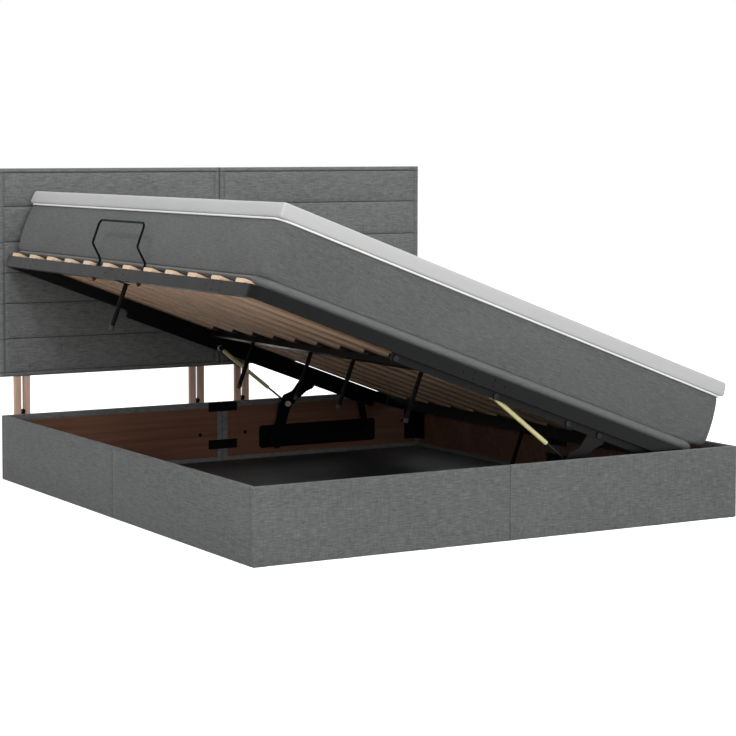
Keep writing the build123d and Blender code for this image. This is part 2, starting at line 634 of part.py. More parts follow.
def platform_frame():
    """Four steel rails of square-cornered tube, cut from one rounded ring, and the centre beam."""
    wall, width, corner = RAIL_WALL, RAIL_WIDTH, RAIL_CORNER
    ring = rounded_slab(FRAME_X, FRAME_Y, corner, RAIL_BOTTOM, RAIL_HEIGHT)
    ring = ring - rounded_slab(FRAME_X - width, FRAME_Y - width, corner - width, RAIL_BOTTOM, RAIL_HEIGHT)
    inner_height = RAIL_HEIGHT - 2 * wall
    core = rounded_slab(FRAME_X - wall, FRAME_Y - wall, corner - wall, RAIL_BOTTOM + wall, inner_height)
    core = core - rounded_slab(FRAME_X - width + wall, FRAME_Y - width + wall, corner - width + wall,
                               RAIL_BOTTOM + wall, inner_height)
    ring = ring - core - rail_holes()
    bar_x = -FRAME_X + width / 2
    for y in bar_places():
        ring = ring - bar_z(BAR_RADIUS + BAR_HOLE_CLEARANCE, bar_x, y, RAIL_BOTTOM - OVERRUN, RAIL_TOP + OVERRUN)
    split_y = FRAME_Y - corner
    z0, z1 = RAIL_BOTTOM - OVERRUN, RAIL_TOP + OVERRUN
    far_x, far_y = FRAME_X + OVERRUN, FRAME_Y + OVERRUN
    beam_y = FRAME_Y - width
    half = BEAM_WIDTH / 2
    beam = block(-half, half, -beam_y, beam_y, BEAM_BOTTOM, BEAM_TOP)
    beam = beam - block(wall - half, half - wall, -beam_y - OVERRUN, beam_y + OVERRUN, BEAM_BOTTOM + wall,
                        BEAM_TOP - wall)
    return {
        "foot_rail": [ring & block(-far_x, far_x, -far_y, -split_y, z0, z1)],
        "head_rail": [ring & block(-far_x, far_x, split_y, far_y, z0, z1)],
        "side_rail_left": [ring & block(-far_x, 0, -split_y, split_y, z0, z1)],
        "side_rail_right": [ring & block(0, far_x, -split_y, split_y, z0, z1)],
        "centre_beam": [beam],
    }


def tube_leg(x, y, top):
    """Round tube that stands on the floor board when the platform is closed, and its end cap."""
    bottom = FLOOR_TOP + FOOT_CLEARANCE
    leg = bar_z(LEG_RADIUS, x, y, bottom + CAP_FLOOR, top)
    leg = leg - bar_z(LEG_RADIUS - LEG_WALL, x, y, bottom + CAP_FLOOR - OVERRUN, top - LEG_WALL)
    cap = bar_z(CAP_RADIUS, x, y, bottom, bottom + CAP_HEIGHT)
    cap = cap - bar_z(LEG_RADIUS + CAP_CLEARANCE, x, y, bottom + CAP_FLOOR, bottom + CAP_HEIGHT + OVERRUN)
    return leg, cap


def support_legs():
    """Side legs on their gussets and the centre beam's legs, with the caps on their ends."""
    legs, caps = [], []
    for side in (-1, 1):
        x = side * (FRAME_X - SIDE_LEG_INSET)
        leg, cap = tube_leg(x, SIDE_LEG_OFFSET, RAIL_BOTTOM - GUSSET_THICKNESS)
        ends = sorted((side * FRAME_X, x - side * LEG_RADIUS))
        gusset = block(ends[0], ends[1], SIDE_LEG_OFFSET - GUSSET_WIDTH / 2, SIDE_LEG_OFFSET + GUSSET_WIDTH / 2,
                       RAIL_BOTTOM - GUSSET_THICKNESS, RAIL_BOTTOM)
        legs.append(leg + gusset)
        caps.append(cap)
    for share in CENTRE_LEG_SHARES:
        leg, cap = tube_leg(0, share * FRAME_Y, BEAM_BOTTOM)
        legs.append(leg)
        caps.append(cap)
    return {"support_legs": legs, "leg_caps": caps}


def slat_places():
    """Distance along the bed of the middle of each slat row."""
    first = -SLAT_PITCH * (SLAT_COUNT - 1) / 2
    return [first + SLAT_PITCH * i for i in range(SLAT_COUNT)]


def slats_and_holders():
    """Two rows of slats, from the side rails to the holders on the centre beam."""
    web = HOLDER_WEB / 2
    half = SLAT_WIDTH / 2
    outer = half + HOLDER_WALL
    right, holders = [], []
    for y in slat_places():
        slat = block(web, FRAME_X + SLAT_OVERHANG, y - half, y + half, RAIL_TOP, SLAT_TOP)
        right.append(fillet(slat.edges().filter_by(Axis.X), SLAT_ROUND))
        holder = block(-HOLDER_LENGTH, HOLDER_LENGTH, y - outer, y + outer, BEAM_TOP, SLAT_TOP + HOLDER_WALL)
        for side in (-1, 1):
            ends = sorted((side * web, side * (HOLDER_LENGTH + OVERRUN)))
            holder = holder - block(ends[0], ends[1], y - half, y + half, RAIL_TOP, SLAT_TOP)
            holder = holder - bar_z(SLAT_WIDTH * HOLDER_SCALLOP_SHARE, side * (HOLDER_LENGTH + HOLDER_WALL), y,
                                    BEAM_TOP - OVERRUN, RAIL_TOP)
        holders.append(holder)
    left = [mirror(slat, about=Plane.YZ) for slat in right]
    return {"slats_left": left, "slats_right": right, "slat_holders": holders}


def hex_nut(radius, x, y, z0):
    """Six-sided nut round an upright bar."""
    blank = extrude(Pos(x, y, z0) * RegularPolygon(NUT_FLATS / 2, 6, major_radius=False), amount=NUT_HEIGHT)
    return blank - bar_z(radius + NUT_CLEARANCE, x, y, z0 - OVERRUN, z0 + NUT_HEIGHT + OVERRUN)


def mattress_retainer():
    """Bent rod that stands up beside the mattress, with a nut above and below the rail at each leg."""
    x = -FRAME_X + RAIL_WIDTH / 2
    near, far = bar_places()
    heights = [RAIL_BOTTOM - BAR_TAIL, RAIL_TOP + BAR_KNEE_RISE, RAIL_TOP + BAR_JOG_RISE, RAIL_TOP + BAR_TOP_RISE]
    out = x - BAR_JOG_OUT
    points = [(x, near, heights[0]), (x, near, heights[1]), (out, near, heights[2]), (out, near, heights[3]),
              (out, far, heights[3]), (out, far, heights[2]), (x, far, heights[1]), (x, far, heights[0])]
    knee, corner = BAR_KNEE_RADIUS, BAR_CORNER_RADIUS
    path = FilletPolyline(*points, radius=[knee, knee, corner, corner, knee, knee])
    section = Plane(origin=points[0], z_dir=(0, 0, 1)) * Circle(BAR_RADIUS)
    rod = sweep(section, path=path)
    nuts = [hex_nut(BAR_RADIUS, x, y, z0) for y in (near, far) for z0 in (RAIL_BOTTOM - NUT_HEIGHT, RAIL_TOP)]
    return {"mattress_retainer": [rod], "retainer_nuts": nuts}


def soft_block(sections):
    """Cushion built up from rounded rectangles: middle, half width, half length, corner radius and height."""
    outlines = [Pos(x, 0, z) * RectangleRounded(2 * hx, 2 * hy, r) for x, hx, hy, r, z in sections]
    return loft(outlines, ruled=True)


def drawn_in(inset, z):
    """Plan of the mattress at a height, with its sides drawn in by an inset."""
    return (MATTRESS_SHIFT, MATTRESS_WIDTH / 2 - inset, MATTRESS_LENGTH / 2 - inset, MATTRESS_CORNER - inset, z)


def inside_rim(section):
    """The same plan with its right side drawn in further, to lie inside the base's rim when closed."""
    x, hx, hy, corner, z = section
    half = MATTRESS_RIM_STEP / 2
    return (x - half, hx - half, hy, corner, z)


def rounded_edge(z, radius, inset, up):
    """Three plans that round an edge between a flat face at z and the side, drawn in by an inset."""
    plans = []
    for step in (0, 1, 2):
        angle = math.radians(30 * step + 15)
        plans.append(drawn_in(inset + radius * (1 - math.sin(angle)), z + up * radius * (1 - math.cos(angle))))
    return plans


def mattress():
    """Mattress with a softly bulging side, a chamfered top edge and a rounded bottom edge inside the rim."""
    side = [drawn_in(MATTRESS_DRAWN_IN * inset, MATTRESS_BOTTOM + MATTRESS_HEIGHT * rise)
            for rise, inset in MATTRESS_SIDE_SHARES]
    flat = drawn_in(MATTRESS_DRAWN_IN + MATTRESS_BOTTOM_ROUND, MATTRESS_BOTTOM)
    bottom = [flat, *rounded_edge(MATTRESS_BOTTOM, MATTRESS_BOTTOM_ROUND, MATTRESS_DRAWN_IN, 1)]
    edge = drawn_in(MATTRESS_DRAWN_IN, MATTRESS_TOP - MATTRESS_TOP_ROUND)
    top = drawn_in(MATTRESS_DRAWN_IN + MATTRESS_TOP_ROUND, MATTRESS_TOP)
    return soft_block([*[inside_rim(section) for section in bottom], *side, edge, top])


def mattress_piping():
    """Round piping that lies in the mattress's top edge."""
    x, hx, hy, corner, z = drawn_in(MATTRESS_DRAWN_IN + PIPING_INSET, MATTRESS_TOP - PIPING_INSET)
    path = Pos(x, 0, z) * RectangleRounded(2 * hx, 2 * hy, corner).wire()
    start = path @ 0
    along = path % 0
    return sweep(Plane(origin=start, z_dir=along) * Circle(PIPING_RADIUS), path=path)


def topper():
    """Pale topper with a slightly crowned top and a large rounded top edge."""
    top = TOPPER_BOTTOM + TOPPER_HEIGHT
    shoulder = top - TOPPER_CROWN
    bottom = rounded_edge(TOPPER_BOTTOM, TOPPER_BOTTOM_ROUND, 0, 1)
    rounded_top = rounded_edge(shoulder, TOPPER_TOP_ROUND, 0, -1)[::-1]
    flat = drawn_in(TOPPER_BOTTOM_ROUND, TOPPER_BOTTOM)
    inner = drawn_in(2 * TOPPER_TOP_ROUND, shoulder + TOPPER_CROWN / 2)
    crown = drawn_in(MATTRESS_CORNER - TOPPER_CROWN, top)
    return soft_block([flat, *bottom, *rounded_top, inner, crown])


def lift_angle():
    """Steel angle under the foot rail that carries the platform's pivots."""
    x0, x1 = ANGLE_START_X, ANGLE_END_X
    upright = block(x0, x1, ANGLE_OUTER, RAIL_INNER, RAIL_BOTTOM - ANGLE_DEPTH, RAIL_BOTTOM)
    low = upright.edges().filter_by(Axis.Y).group_by(Axis.Z)[0]
    upright = fillet(low, ANGLE_ROUND)
    flange = block(x0, x1, -FRAME_Y, RAIL_INNER, RAIL_BOTTOM - ANGLE_THICKNESS, RAIL_BOTTOM)
    angle = upright + flange
    radius = PIVOT_RADIUS + BOLT_HOLE_CLEARANCE
    for x in (PLATFORM_PIVOT_X, LINK_TOP_X, STRUT_TOP_X, SPARE_BOLT_X, END_BOLT_X):
        angle = angle - bar_y(radius, (x, PIVOT_LINE), ANGLE_OUTER - OVERRUN, RAIL_INNER + OVERRUN)
    return angle


def platform_pivots():
    """Bolts through the lift angle: heads outside, the arm's and the strut's shanks and nuts inside."""
    shanks = {
        END_BOLT_X: RAIL_INNER,
        STRUT_TOP_X: EYE_END + PIVOT_PLAY + PIVOT_NUT,
        SPARE_BOLT_X: RAIL_INNER,
        PLATFORM_PIVOT_X: ARM_END + PIVOT_PLAY + PIVOT_NUT,
        LINK_TOP_X: RAIL_INNER,
    }
    bolts = []
    for x, end in shanks.items():
        point = (x, PIVOT_LINE)
        bolt = bar_y(PIVOT_HEAD_RADIUS, point, ANGLE_OUTER - PIVOT_HEAD, ANGLE_OUTER)
        bolt = bolt + bar_y(PIVOT_RADIUS, point, ANGLE_OUTER, end)
        if end > RAIL_INNER:
            bolt = bolt + bar_y(PIVOT_HEAD_RADIUS, point, end - PIVOT_NUT, end)
        if x == STRUT_TOP_X:
            bolt = bolt + bar_y(SPACER_RADIUS, point, RAIL_INNER, EYE_START - STUD_GAP)
        bolts.append(bolt)
    return bolts


def lift_bracket():
    """Fixed bracket on the foot board, with a bossed pivot stud for each arm and its screws."""
    y0 = Y_FOOT + INNER_FACE
    y1 = y0 + BRACKET_THICKNESS
    x0, x1 = BASE_PIVOT[0] - BRACKET_OVERHANG, LINK_BASE[0] + BRACKET_OVERHANG
    plate = block(x0, x1, y0, y1, BRACKET_BOTTOM, BRACKET_TOP)
    bracket = fillet(plate.edges().filter_by(Axis.Y), BRACKET_ROUND)
    end = ARM_END + PIVOT_PLAY + PIVOT_NUT
    for point in (BASE_PIVOT, LINK_BASE):
        bracket = bracket + bar_y(BOSS_RADIUS, point, y1, ARM_START - PIVOT_PLAY)
        bracket = bracket + bar_y(PIVOT_RADIUS, point, y1, end)
        bracket = bracket + bar_y(PIVOT_HEAD_RADIUS, point, end - PIVOT_NUT, end)
    low, high = BRACKET_BOTTOM + BRACKET_ROUND, BRACKET_TOP - BRACKET_ROUND
    for x in (x0 + BRACKET_ROUND, (x0 + x1) / 2, x1 - BRACKET_ROUND):
        for z in (low, high):
            bracket = bracket + bar_y(SCREW_HEAD_RADIUS, (x, z), y1, y1 + SCREW_HEAD_HEIGHT)
    return bracket


def xz_plate(points, radii, y0, y1):
    """Plate between two depths whose X-Z outline is a polygon with rounded corners."""
    path = FilletPolyline(*[(x, y0, z) for x, z in points], radius=radii, close=True)
    return extrude(make_face(path), amount=y1 - y0, dir=(0, 1, 0))


def main_arm():
    """Bent plate from the base pivot to the platform pivot, its elbow round the strut's pin."""
    points = [on_arm(along * ARM_LENGTH, aside * ARM_LENGTH) for along, aside, _ in ARM_OUTLINE_SHARES]
    radii = [share * ARM_LENGTH for _, _, share in ARM_OUTLINE_SHARES]
    arm = xz_plate(points, radii, ARM_START, ARM_END)
    for point in (BASE_PIVOT, PLATFORM_PIVOT):
        arm = arm - bar_y(PIVOT_RADIUS + PIVOT_CLEARANCE, point, ARM_START - OVERRUN, ARM_END + OVERRUN)
    return arm


def link_arm():
    """Short straight arm, with the pin of its top pivot on its inner face."""
    dx, dz = LINK_TOP[0] - LINK_BASE[0], LINK_TOP[1] - LINK_BASE[1]
    length = math.hypot(dx, dz)
    middle = Pos((LINK_BASE[0] + LINK_TOP[0]) / 2, 0, (LINK_BASE[1] + LINK_TOP[1]) / 2)
    thickness = ARM_END - ARM_START
    bar = Box(length, thickness, 2 * LINK_RADIUS)
    bar = middle * Rot(0, -math.degrees(math.atan2(dz, dx)), 0) * bar
    bar = Pos(0, (ARM_START + ARM_END) / 2, 0) * bar
    for point in (LINK_BASE, LINK_TOP):
        bar = bar + bar_y(LINK_RADIUS, point, ARM_START, ARM_END)
    bar = bar - bar_y(PIVOT_RADIUS + PIVOT_CLEARANCE, LINK_BASE, ARM_START - OVERRUN, ARM_END + OVERRUN)
    return bar + bar_y(PIVOT_HEAD_RADIUS, LINK_TOP, ARM_END, ARM_END + PIVOT_NUT)


def along_strut(shape):
    """Place a shape drawn along +Z, with its eye bored along X, on the strut's line from its top pivot."""
    direction = (STRUT_FOOT[0] - STRUT_TOP[0], 0, STRUT_FOOT[1] - STRUT_TOP[1])
    origin = (STRUT_TOP[0], STRUT_Y, STRUT_TOP[1])
    return Plane(origin=origin, x_dir=(0, 1, 0), z_dir=direction).location * shape


def eye(z):
    """Ring with a bore along X, centred on the strut's line."""
    ring = Cylinder(EYE_RADIUS, EYE_THICKNESS)
    return Pos(0, 0, z) * Rot(0, 90, 0) * ring


def eye_bore(z):
    """Bore of an eye, longer than it is thick."""
    return Pos(0, 0, z) * Rot(0, 90, 0) * Cylinder(PIVOT_RADIUS + PIVOT_CLEARANCE, EYE_THICKNESS + OVERRUN)


def strut_cylinder():
    """Gas strut's cylinder with the eye of its top pivot."""
    start, end = NECK_LENGTH, NECK_LENGTH + STRUT_LENGTH
    body = bar_z(STRUT_RADIUS, 0, 0, start, end) + eye(0) + bar_z(NECK_RADIUS, 0, 0, 0, start) - eye_bore(0)
    bore_start, bore_end = start + STRUT_END_WALL, end - STRUT_END_WALL
    body = body - bar_z(STRUT_RADIUS - STRUT_WALL, 0, 0, bore_start, bore_end)
    body = body - bar_z(ROD_RADIUS + ROD_CLEARANCE, 0, 0, bore_end - OVERRUN, end + OVERRUN)
    return along_strut(body)


def strut_rod():
    """Gas strut's rod with its piston, its eye and the stud that reaches for the main arm."""
    start = NECK_LENGTH + STRUT_LENGTH - ROD_INSIDE
    rod = bar_z(ROD_RADIUS, 0, 0, start, STRUT_OPEN)
    rod = rod + bar_z(STRUT_RADIUS - STRUT_WALL - ROD_CLEARANCE, 0, 0, start, start + PISTON_LENGTH)
    rod = rod + eye(STRUT_OPEN)
    rod = along_strut(rod)
    rod = rod + bar_y(PIVOT_RADIUS, STRUT_FOOT, ARM_END + STUD_GAP, EYE_END)
    return rod + bar_y(PIVOT_HEAD_RADIUS, STRUT_FOOT, EYE_END, EYE_END + PIVOT_NUT)


def lift_mechanism():
    """Moving pieces of the mechanism at both ends, and the fixed brackets."""
    pieces = {
        "lift_bracket": lift_bracket(),
        "main_arm": main_arm(),
        "link_arm": link_arm(),
        "strut_cylinder": strut_cylinder(),
        "strut_rod": strut_rod(),
    }
    nodes = {}
    for name, shape in pieces.items():
        nodes[name + "_foot"] = [shape]
        nodes[name + "_head"] = at_head([shape])
    return nodes


def platform():
    """Everything that lies in the base when closed, raised to the open stop."""
    nodes = platform_frame()
    nodes.update(support_legs())
    nodes.update(slats_and_holders())
    nodes.update(mattress_retainer())
    angle = lift_angle()
    nodes["lift_angle_foot"] = [angle]
    nodes["lift_angle_head"] = at_head([angle])
    nodes["platform_pivots"] = both_ends(platform_pivots())
    nodes["mattress"] = [mattress()]
    nodes["mattress_piping"] = [mattress_piping()]
    nodes["topper"] = [topper()]
    return {name: moved(shapes, RAISE) for name, shapes in nodes.items()}


def bed():
    """All nodes of the bed, by name."""
    nodes = base_panels()
    nodes.update(base_fittings())
    nodes.update(floor_boards())
    nodes["floor_glides"] = floor_glides()
    nodes.update(headboard())
    nodes.update(platform())
    nodes.update(lift_mechanism())
    return nodes


def export_nodes(nodes):
    """Write each node to its own file."""
    os.makedirs("parts", exist_ok=True)
    for name, shapes in nodes.items():
        export_step(Compound(children=solids_of(shapes)), os.path.join("parts", name + ".step"))


BED = bed()
export_nodes(BED)
print(len(BED), "nodes")
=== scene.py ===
"""Side-lift ottoman storage bed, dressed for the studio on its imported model.

Sizes in the classes are millimetres in the bed's frame: +X to the hinge side, +Y to the
headboard, +Z up, origin on the floor under the middle of the base. Meshes are in metres.
The platform's soft pieces are shaped lying flat, as when the bed is shut, and then raised.
"""

import logging
import math
from dataclasses import dataclass, replace
from enum import Enum

import bpy
import numpy as np
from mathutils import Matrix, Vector


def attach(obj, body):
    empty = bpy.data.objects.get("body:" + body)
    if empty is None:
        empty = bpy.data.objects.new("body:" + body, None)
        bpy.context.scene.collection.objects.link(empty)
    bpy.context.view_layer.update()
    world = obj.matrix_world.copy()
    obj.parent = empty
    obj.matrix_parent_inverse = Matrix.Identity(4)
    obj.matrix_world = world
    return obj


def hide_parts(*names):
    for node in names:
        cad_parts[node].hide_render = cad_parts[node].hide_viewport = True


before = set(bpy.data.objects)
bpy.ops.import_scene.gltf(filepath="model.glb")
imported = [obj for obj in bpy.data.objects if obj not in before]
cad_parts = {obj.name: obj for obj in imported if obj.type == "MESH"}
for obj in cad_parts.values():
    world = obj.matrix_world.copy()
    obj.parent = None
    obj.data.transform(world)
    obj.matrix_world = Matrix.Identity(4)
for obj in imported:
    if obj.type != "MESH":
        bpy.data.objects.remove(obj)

log = logging.getLogger("bed")

Array = np.ndarray
Colour = tuple[float, float, float]
Point = tuple[float, float, float]
Profile = tuple[tuple[float, float], ...]
Plug = "Wire | float | tuple"

MM = 0.001
FULL_TURN = 2 * math.pi
ENDS = ("foot", "head")
SIDES = ("left", "right")
WHITE = (1.0, 1.0, 1.0, 1.0)
SRGB_KNEE, SRGB_SLOPE, SRGB_LIFT, SRGB_POWER = 0.04045, 12.92, 0.055, 2.4

TILT = math.radians(20.5)
PIVOT_SHUT: Point = (484.95, 0.0, 155.0)
PIVOT_RAISED: Point = (371.79, 0.0, 306.706)
STRUT_TOP_PIN: Point = (-30.94, 0.0, 457.28)
STRUT_FOOT_PIN: Point = (267.9, 0.0, 222.05)
MATTRESS_SEAM = 240.5
MATTRESS_SEAM_RAISED = (
    PIVOT_RAISED[2] * math.cos(TILT) + PIVOT_RAISED[0] * math.sin(TILT) + MATTRESS_SEAM - PIVOT_SHUT[2]
)
HEADBOARD_SEAMS = (399.0, 525.0, 657.0, 772.0, 887.0, 1019.0, 1145.0)


def srgb(red: int, green: int, blue: int) -> Colour:
    """Linear colour of an eight-bit screen colour.

    Args:
        red: Red level, 0 to 255.
        green: Green level.
        blue: Blue level.

    Returns:
        The three linear values.
    """
    levels = np.array((red, green, blue)) / 255.0
    curve = ((levels + SRGB_LIFT) / (1 + SRGB_LIFT)) ** SRGB_POWER
    linear = np.where(levels <= SRGB_KNEE, levels / SRGB_SLOPE, curve)
    return tuple(float(value) for value in linear)


def shaded(colour: Colour, factor: float) -> Colour:
    """The same colour made darker or lighter by a factor."""
    return tuple(min(1.0, value * factor) for value in colour)


def add_object(name: str, data: bpy.types.ID) -> bpy.types.Object:
    """Adds an object with its data to the scene."""
    made = bpy.data.objects.new(name, data)
    bpy.context.scene.collection.objects.link(made)
    return made


# ---------------------------------------------------------------- shader expressions


@dataclass(frozen=True)
class Layer:
    """Soft noise whose grains have a size along each axis.

    Attributes:
        cell: Grain size in millimetres along X, Y and Z.
        detail: Number of finer layers.
        rough: Strength of the finer layers.
        warp: Distortion.
    """

    cell: Point
    detail: float = 2.0
    rough: float = 0.5
    warp: float = 0.0

    @classmethod
    def even(cls, size: float, detail: float = 2.0, rough: float = 0.5) -> "Layer":
        """Layer whose grains have one size."""
        return cls((size, size, size), detail, rough)


@dataclass(frozen=True)
class Wire:
    """One output of a shader node that can be used in arithmetic.

    Attributes:
        graph: The node tree that the output belongs to.
        socket: The output itself.
    """

    graph: "Graph"
    socket: bpy.types.NodeSocket

    def _math(self, operation: str, first: Plug, second: Plug = 0.0) -> "Wire":
        """A Math node on two values."""
        return self.graph.node("ShaderNodeMath", {"operation": operation}, {0: first, 1: second})

    def __add__(self, other: Plug) -> "Wire":
        """Sum."""
        return self._math("ADD", self, other)

    __radd__ = __add__

    def __sub__(self, other: Plug) -> "Wire":
        """Difference."""
        return self._math("SUBTRACT", self, other)

    def __mul__(self, other: Plug) -> "Wire":
        """Product."""
        return self._math("MULTIPLY", self, other)

    def __pow__(self, other: Plug) -> "Wire":
        """Power."""
        return self._math("POWER", self, other)

    def below(self, limit: Plug) -> "Wire":
        """1 where the value is under a limit, else 0."""
        return self._math("LESS_THAN", self, limit)

    def greatest(self, other: Plug) -> "Wire":
        """The larger of two values."""
        return self._math("MAXIMUM", self, other)

    def size(self) -> "Wire":
        """The value without its sign."""
        return self._math("ABSOLUTE", self)

    def sine(self) -> "Wire":
        """Sine of the value in radians."""
        return self._math("SINE", self)

    def span(self, low: float, high: float) -> "Wire":
        """0 at and before the value low, 1 at and past the value high, smooth between."""
        settings = {"interpolation_type": "SMOOTHSTEP"}
        return self.graph.node("ShaderNodeMapRange", settings, {0: self, 1: low, 2: high})


class Graph:
    """A shader node tree written as expressions."""

    def __init__(self, owner: bpy.types.Material | bpy.types.World) -> None:
        """Turns on the nodes of a material or world and empties its tree."""
        owner.use_nodes = True
        self.tree = owner.node_tree
        self.tree.nodes.clear()

    def node(
        self, kind: str, settings: dict | None = None, sockets: dict | None = None, output: int | str = 0
    ) -> Wire:
        """Adds one node.

        Args:
            kind: Blender's type name of the node.
            settings: Properties, set first.
            sockets: Values or wires of the inputs, by index or name.
            output: Output that is wanted, by index or name.

        Returns:
            The wanted output.
        """
        made = self.tree.nodes.new(kind)
        for name, value in (settings or {}).items():
            setattr(made, name, value)
        for key, value in (sockets or {}).items():
            if isinstance(value, Wire):
                self.tree.links.new(value.socket, made.inputs[key])
            else:
                made.inputs[key].default_value = value
        return Wire(self, made.outputs[output] if len(made.outputs) else None)

    def turned(self, vector: Wire, turn: Point) -> Wire:
        """A vector turned by angles about X, Y and Z in radians."""
        return self.node("ShaderNodeMapping", {"vector_type": "POINT"}, {"Vector": vector, "Rotation": turn})

    def place(self, turn: Point = (0.0, 0.0, 0.0)) -> Wire:
        """Object coordinates in metres, turned."""
        return self.turned(self.node("ShaderNodeTexCoord", output="Object"), turn)

    def noise(self, at: Wire, layer: Layer) -> Wire:
        """Values round 0.5 of a layer of noise at coordinates in metres."""
        scale = tuple(1.0 / (length * MM) for length in layer.cell)
        cells = self.node("ShaderNodeVectorMath", {"operation": "MULTIPLY"}, {0: at, 1: scale})
        sockets = {"Vector": cells, "Scale": 1.0, "Detail": layer.detail, "Roughness": layer.rough}
        return self.node("ShaderNodeTexNoise", {}, {**sockets, "Distortion": layer.warp})

    def part(self, at: Wire, axis: str) -> Wire:
        """One coordinate of a vector, by its letter."""
        return self.node("ShaderNodeSeparateXYZ", {}, {0: at}, output=axis)

    def ripple(self, at: Wire, axis: str, pitch: float) -> Wire:
        """Sine along an axis with a pitch in millimetres."""
        return (self.part(at, axis) * (FULL_TURN / (pitch * MM))).sine()

    def blend(self, low: "Wire | Colour", high: "Wire | Colour", factor: Plug) -> Wire:
        """Colour between two colours.

        Args:
            low: Colour at factor 0.
            high: Colour at factor 1.
            factor: Share of the second colour.

        Returns:
            The mixed colour.
        """
        settings = {"data_type": "RGBA", "clamp_factor": True}
        low, high = (value if isinstance(value, Wire) else (*value, 1.0) for value in (low, high))
        return self.node("ShaderNodeMix", settings, {0: factor, 6: low, 7: high}, output=2)

    def bump(self, height: Wire, depth: float, strength: float) -> Wire:
        """Surface normal of a relief that is some millimetres deep."""
        sockets = {"Height": height, "Distance": depth * MM, "Strength": strength}
        return self.node("ShaderNodeBump", {}, sockets)

    def near(self, at: Wire, centre: Point, radius: float) -> Wire:
        """1 within a radius (mm) of the line along Y through a point (mm), else 0."""
        x = self.part(at, "X") - centre[0] * MM
        z = self.part(at, "Z") - centre[2] * MM
        return ((x * x + z * z) ** 0.5).below(radius * MM)


# ---------------------------------------------------------------- finishes


@dataclass(frozen=True)
class Finish:
    """Base of all finishes: a named material on one Principled shader.

    Attributes:
        name: Name of the material.
    """

    name: str

    def material(self) -> bpy.types.Material:
        """The finish's material, made at its first use."""
        found = bpy.data.materials.get(self.name)
        if found is not None:
            return found
        made = bpy.data.materials.new(self.name)
        graph = Graph(made)
        shader = graph.node("ShaderNodeBsdfPrincipled", {}, self.surface(graph))
        graph.node("ShaderNodeOutputMaterial", {}, {"Surface": shader})
        return made

    def surface(self, graph: Graph) -> dict:
        """Inputs of the Principled shader; each finish gives its own."""
        raise NotImplementedError


class Lie(Enum):
    """How a piece lies when the bed is as in the rest pose."""

    LEVEL = 0.0
    RAISED = -TILT

    def turn(self) -> Point:
        """Angles that turn object coordinates back to the level position."""
        return (0.0, self.value, 0.0)


@dataclass(frozen=True)
class Linen(Finish):
    """Slubby plain-weave upholstery cloth.

    Attributes:
        tone: Middle colour.
        lie: Whether the piece is level or raised.
        slub: Strength of the thick and thin yarns.
        band: Height, after the turn, under which the cloth is painted paler as a painted highlight on the
            mattress's rolled lower band, or None.
        stitches: Heights of sewn seams, where the colour is darkened: painted shade in the seam grooves,
            partly a dark thread.
    """

    tone: Colour
    lie: Lie = Lie.LEVEL
    slub: float = 1.0
    band: float | None = None
    stitches: tuple[float, ...] = ()

    LEVEL_SLUBS = Layer((30.0, 30.0, 2.8))
    UPRIGHT_SLUBS = Layer((2.8, 2.8, 26.0))
    LEVEL_YARNS = Layer((14.0, 14.0, 1.6))
    UPRIGHT_YARNS = Layer((1.6, 1.6, 14.0))
    FADING = Layer((260.0, 260.0, 180.0), 1.0)
    WEAVE_PITCH = 2.1
    THICK_SPAN, THIN_SPAN = (0.56, 0.72), (0.44, 0.28)
    CONTRAST = (0.55, 1.45)
    # Contrast and soft edge of the painted highlight on the low band.
    BAND_CONTRAST = (0.95, 1.6)
    BAND_EDGE = 0.5
    # Half width, core width and darkness of the painted shade along the seams.
    STITCH_HALF, STITCH_CORE, STITCH_SHADE = 2.0, 0.8, 0.28

    def surface(self, graph: Graph) -> dict:
        """Thin noise streaks along and across give the yarns, a crossed sine the weave."""
        at = graph.place(self.lie.turn())
        along, upright = graph.noise(at, self.LEVEL_SLUBS), graph.noise(at, self.UPRIGHT_SLUBS)
        short = graph.noise(at, self.LEVEL_YARNS) + graph.noise(at, self.UPRIGHT_YARNS) - 1.0
        thick = along.span(*self.THICK_SPAN) - along.span(*self.THIN_SPAN)
        slubs = (along - 0.5) * 1.05 + (upright - 0.5) * 0.72 + thick * 0.14
        streaks = slubs * self.slub + short * 0.38
        x, y, z = (graph.ripple(at, axis, self.WEAVE_PITCH) for axis in "XYZ")
        weave = x * z + y * 0.3
        factor = streaks + (graph.noise(at, self.FADING) - 0.5) * 0.25 + weave * 0.03 + 0.5
        colour = self._between(graph, self.CONTRAST, factor)
        height = graph.part(at, "Z")
        # Below the band height the colour is painted paler: a painted highlight where the mattress's rolled
        # lower band catches the light.
        if self.band is not None:
            low = height.span((self.band + self.BAND_EDGE) * MM, (self.band - self.BAND_EDGE) * MM)
            colour = graph.blend(colour, self._between(graph, self.BAND_CONTRAST, factor), low)
        # Along each seam the colour is darkened: painted shade in the groove, partly a dark thread.
        for stitch in self.stitches:
            seam = (height - stitch * MM).size().span(self.STITCH_HALF * MM, self.STITCH_CORE * MM)
            colour = graph.blend(colour, shaded(self.tone, self.STITCH_SHADE), seam * 0.85)
        return {
            "Base Color": colour,
            "Roughness": streaks * 0.1 + 0.88,
            "Specular IOR Level": 0.25,
            "Sheen Weight": 0.12,
            "Sheen Roughness": 0.5,
            "Normal": graph.bump(streaks * 0.6 + weave * 0.22, 0.5, 0.55),
        }

    def _between(self, graph: Graph, contrast: tuple[float, float], factor: Wire) -> Wire:
        """Colour between the dark and the light yarns of a contrast."""
        return graph.blend(shaded(self.tone, contrast[0]), shaded(self.tone, contrast[1]), factor)


